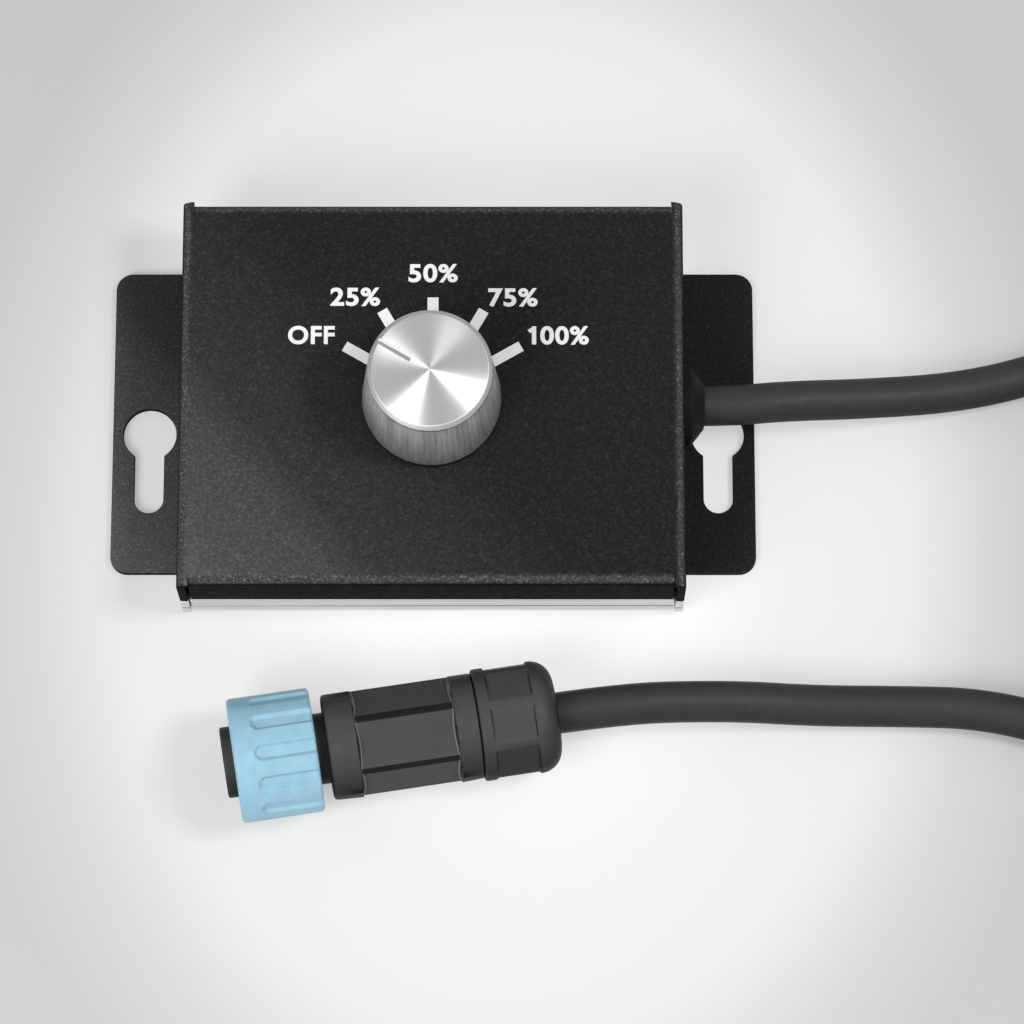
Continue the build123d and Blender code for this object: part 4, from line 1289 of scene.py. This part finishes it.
class DIMMER_OT_connector_body(bpy.types.Operator):
    """Connector body with its collars and wrench flats"""

    bl_idname = "dimmer.connector_body"
    bl_label = "Connector body"

    def execute(self, context):
        sizes = context.scene.dimmer_plug
        start = sizes.nut_length + sizes.neck_length
        end = start + sizes.body_length
        body = turned("plug_body", self.section(sizes, start, end), 120)
        # Six flats that slope up into round collars
        across = sizes.flats / 2
        outer = sizes.body / 2
        shoulder = outer - across
        flat_start = start + sizes.front_collar
        flat_end = end - sizes.rear_collar
        bite = 0.0004
        under = across - bite
        over = outer + shoulder
        slope = sizes.flat_slope / shoulder
        ring_section = [
            (under, flat_start + slope * (outer - under) / 2),
            (over, flat_start - slope * (over - outer)),
            (over, flat_end + slope * (over - outer)),
            (under, flat_end - slope * (outer - under) / 2),
        ]
        ring = turned("flats", ring_section, 120)
        hexagon = add_rod("hexagon", across / cos(pi / 6), (0, 0, start), (0, 0, end), 6)
        edit(hexagon)
        pick(hexagon, "EDGE", lambda p: True)
        drop_edges(hexagon, lambda a, b: near(a.z, b.z))
        round_edges(sizes.ridge, 1)
        lay(hexagon, Matrix.Rotation(sizes.flat_start - 2 * pi / 3, 4, "Z"))
        cut_away(ring, [hexagon])
        cut_away(body, [ring])
        soften(body, sizes.soft_edge, 30)
        # The flats have a coarser skin than the collars; the ridges between them get painted shade and the sloped
        # ends of the flats a painted highlight
        inset = 0.00005
        ridge_step = 0.0003
        sloped = 0.3
        finish = []
        for face in body.data.polygons:
            plane_r = face.normal.xy.dot(face.center.xy)
            sunk = under < face.center.xy.length < outer - inset
            if not sunk or not flat_start < face.center.z < flat_end:
                finish.append(0)
            # The sloped ends of the flats get a painted highlight
            elif abs(face.normal.z) > sloped:
                finish.append(3)
            else:
                # Faces on the ridges between the flats get painted shade
                finish.append(1 if plane_r < across + ridge_step else 2)
        lay(body, plug_place(sizes))
        dress(body, "connector_plastic", "enclosure", ("connector_body",), smooth=40)
        for slot in ("wrench_flats", "black_rubber", "flat_end_highlight"):
            body.data.materials.append(slot_material(slot, context.scene.dimmer_finishes))
        body.data.polygons.foreach_set("material_index", finish)
        return {"FINISHED"}

    def section(self, sizes, start, end):
        """Half section from the front ring to the threaded tail."""
        spigot = sizes.neck / 2
        inner = spigot - sizes.spigot_wall
        bore = sizes.cable_bore / 2
        back = sizes.nut_length - sizes.nut_lip - sizes.nut_play
        retainer = sizes.retainer / 2
        outer = sizes.body / 2
        corner = 0.0006
        rear_corner = 0.0003
        lead_in = 0.0002
        tail = sizes.tail / 2
        cup = bore + sizes.spigot_wall
        points = [(inner, -sizes.spigot), (spigot - lead_in, -sizes.spigot), (spigot, lead_in - sizes.spigot)]
        points += [(spigot, back - sizes.retainer_thick), (retainer, back - sizes.retainer_thick)]
        points += [(retainer, back), (spigot, back), (spigot, start)]
        points += arc(outer - corner, start + corner, corner, -90, 0, 4)
        points += arc(outer - rear_corner, end - rear_corner, rear_corner, 0, 90, 3)
        points += [(tail, end), (tail, end + sizes.tail_length), (cup, end + sizes.tail_length), (cup, end)]
        points += [(bore, end), (bore, sizes.insert_end), (inner, sizes.insert_end)]
        return points


class DIMMER_OT_gland_nut(bpy.types.Operator):
    """Gland nut with finger flats and a domed end"""

    bl_idname = "dimmer.gland_nut"
    bl_label = "Gland nut"

    def execute(self, context):
        sizes = context.scene.dimmer_plug
        clear = 0.00002
        corner = 0.0004
        lead_in = 0.0003
        beyond = 0.001
        start = sizes.nut_length + sizes.neck_length + sizes.body_length + clear
        end = start + sizes.gland_length - clear
        outer = sizes.gland / 2
        tail = sizes.tail / 2 + clear
        mouth = sizes.gland_mouth / 2
        dome = sizes.gland_dome
        section = [(tail, start)] + arc(outer - corner, start + corner, corner, -90, 0, 4)
        section += arc(outer - dome, end - dome, dome, 0, 90, 12)
        section += [(mouth + lead_in, end), (mouth, end - lead_in), (mouth, end - sizes.gland_wall)]
        section += [(tail, start + sizes.tail_length + sizes.gland_wall)]
        gland = turned("gland_ring", section, 120)
        flat_r = sqrt(outer**2 - (sizes.finger_width / 2) ** 2)
        flat_start = start + sizes.gland_collar
        flat = add_block(
            "finger_flat",
            (flat_r, -sizes.finger_width / 2, flat_start),
            (outer + beyond, sizes.finger_width / 2, flat_start + sizes.finger_length),
        )
        turn = 2 * pi / sizes.finger_flats
        cut_away(gland, around(flat, sizes.finger_flats, turn, sizes.finger_start))
        soften(gland, sizes.soft_edge, 40)
        lay(gland, plug_place(sizes))
        dress(gland, "connector_plastic", "enclosure", ("gland_nut",), smooth=40)
        return {"FINISHED"}


class DIMMER_OT_strap(bpy.types.Operator):
    """Woven strap round the coil"""

    bl_idname = "dimmer.strap"
    bl_label = "Coil strap"

    def execute(self, context):
        sizes = context.scene.dimmer_cord
        strap = add_block("coil_strap", strap_low, strap_high)
        edit(strap)
        pick(strap, "FACE", lambda p: near(p.y, strap_low.y) or near(p.y, strap_high.y))
        bpy.ops.mesh.delete(type="ONLY_FACE")
        pick(strap, "EDGE", lambda p: True)
        drop_edges(strap, lambda a, b: near(a.y, b.y))
        round_edges((strap_high.z - strap_low.z) / 3, 8)
        face_out(strap)
        modify(strap, "SOLIDIFY", thickness=sizes.strap, offset=-1, use_even_offset=True)
        soften(strap, sizes.strap / 4, 50)
        dress(strap, "strap_fabric", "enclosure", ("coil_tie",))
        return {"FINISHED"}


class DIMMER_OT_cable(bpy.types.Operator):
    """Cable from the grommet through its coil to the connector"""

    bl_idname = "dimmer.cable"
    bl_label = "Cable"

    def execute(self, context):
        sizes = context.scene.dimmer_cord
        plug = context.scene.dimmer_plug
        start_clean()
        route = self.lead() + self.coil(sizes) + self.return_run(plug)
        curve = bpy.data.curves.new("cable", "CURVE")
        curve.dimensions = "3D"
        curve.bevel_depth = sizes.diameter / 2
        curve.bevel_resolution = 5
        curve.resolution_u = 8
        curve.use_fill_caps = True
        spline = curve.splines.new("NURBS")
        spline.points.add(len(route) - 1)
        for point, place in zip(spline.points, route):
            point.co = (*place, 1)
        spline.order_u = 3
        spline.use_endpoint_u = True
        cable = bpy.data.objects.new("cable", curve)
        context.scene.collection.objects.link(cable)
        dress(cable, "cable_jacket", "enclosure", ("cable_lead", "cable_coil", "cable_return"))
        return {"FINISHED"}

    def lead(self):
        """Points given one by one from inside the box to the coil."""
        return [
            (0.0303, 0.0003, 0.0086),
            (0.0433, 0.0003, 0.0086),
            (0.051, 0.00115, 0.0084),
            (0.0635, 0.00235, 0.0055),
            (0.077, 0.004, 0.0031),
            (0.088, 0.0065, 0.003),
            (0.0978, 0.0103, 0.003),
            (0.1062, 0.0145, 0.003),
        ]

    def coil(self, sizes):
        """Turns wound inwards on the floor and back outwards on top, clockwise from above."""
        ring_middle = (sizes.coil_inner + sizes.coil_outer) / 2
        middle = Vector(((strap_low.x + strap_high.x) / 2 - ring_middle, (strap_low.y + strap_high.y) / 2))
        step = 2 * pi / sizes.turn_points
        count = round(sizes.coil_turns * sizes.turn_points)
        low_z = sizes.diameter / 2
        first_angle = radians(120)
        points = []
        for i in range(2 * count + 1):
            share = abs(i - count) / count
            radius = sizes.coil_inner + (sizes.coil_outer - sizes.coil_inner) * share
            radius /= cos(step / 2)
            turn = first_angle - step * i
            # The cable climbs to the upper layer in half a turn
            rise = min(1.0, max(0.0, (i - count) / (0.5 * sizes.turn_points) + 0.5))
            level = low_z + sizes.diameter * rise * rise * (3 - 2 * rise)
            points.append((middle.x + radius * cos(turn), middle.y + radius * sin(turn), level))
        return points

    def return_run(self, plug):
        """Points given one by one from the coil to the connector's body."""
        place = plug_place(plug)
        body_end = plug.nut_length + plug.neck_length + plug.body_length
        straight = 0.0073
        lean = 0.0004
        straight_end = body_end + plug.gland_length + straight
        return [
            (0.1105, -0.0563, 0.0076),
            (0.1005, -0.0509, 0.0046),
            (0.09, -0.0461, 0.003),
            (0.079, -0.0436, 0.003),
            (0.0675, -0.04335, 0.00305),
            (0.0555, -0.0433, 0.0032),
            (0.0426, -0.0429, 0.005),
            tuple(place @ Vector((lean, 0, straight_end))),
            tuple(place @ Vector((0, 0, body_end))),
        ]


class DIMMER_OT_inner_parts(bpy.types.Operator):
    """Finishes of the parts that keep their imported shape"""

    bl_idname = "dimmer.inner_parts"
    bl_label = "Inner parts"

    def execute(self, context):
        slots = {row["node"]: row["material_slot"] for row in frame["record"]["subparts"]}
        for name, part in frame["nodes"].items():
            part.data.materials.clear()
            part.data.materials.append(slot_material(slots[name], context.scene.dimmer_finishes))
        return {"FINISHED"}


class DIMMER_PT_panel(bpy.types.Panel):
    """Buttons for each piece"""

    bl_idname = "DIMMER_PT_panel"
    bl_label = "Stepped dimmer"
    bl_space_type = "VIEW_3D"
    bl_region_type = "UI"
    bl_category = "Dimmer"

    def draw(self, context):
        for operator in operators:
            self.layout.operator(operator.bl_idname)


groups = {
    "dimmer_box": DimmerBoxSizes,
    "dimmer_knob": DimmerKnobSizes,
    "dimmer_plug": DimmerPlugSizes,
    "dimmer_cord": DimmerCordSizes,
    "dimmer_finishes": DimmerFinishes,
    "dimmer_stage": DimmerStage,
}
operators = (
    DIMMER_OT_stage,
    DIMMER_OT_cover,
    DIMMER_OT_tray,
    DIMMER_OT_dial,
    DIMMER_OT_knob,
    DIMMER_OT_grommet,
    DIMMER_OT_coupling_nut,
    DIMMER_OT_connector_body,
    DIMMER_OT_gland_nut,
    DIMMER_OT_strap,
    DIMMER_OT_cable,
    DIMMER_OT_inner_parts,
)


def register():
    """Register the classes and hang the settings on the scene."""
    for kind in (*groups.values(), *operators, DIMMER_PT_panel):
        bpy.utils.register_class(kind)
    for name, kind in groups.items():
        setattr(bpy.types.Scene, name, PointerProperty(type=kind))


def unregister():
    """Take the settings and the classes away again."""
    for name in groups:
        delattr(bpy.types.Scene, name)
    for kind in reversed((*groups.values(), *operators, DIMMER_PT_panel)):
        bpy.utils.unregister_class(kind)


def main():
    """Make every piece in order."""
    register()
    bpy.ops.dimmer.stage()
    bpy.ops.dimmer.cover()
    bpy.ops.dimmer.tray()
    bpy.ops.dimmer.dial()
    bpy.ops.dimmer.knob()
    bpy.ops.dimmer.grommet()
    bpy.ops.dimmer.coupling_nut()
    bpy.ops.dimmer.connector_body()
    bpy.ops.dimmer.gland_nut()
    bpy.ops.dimmer.strap()
    bpy.ops.dimmer.cable()
    bpy.ops.dimmer.inner_parts()


if __name__ == "__main__":
    main()
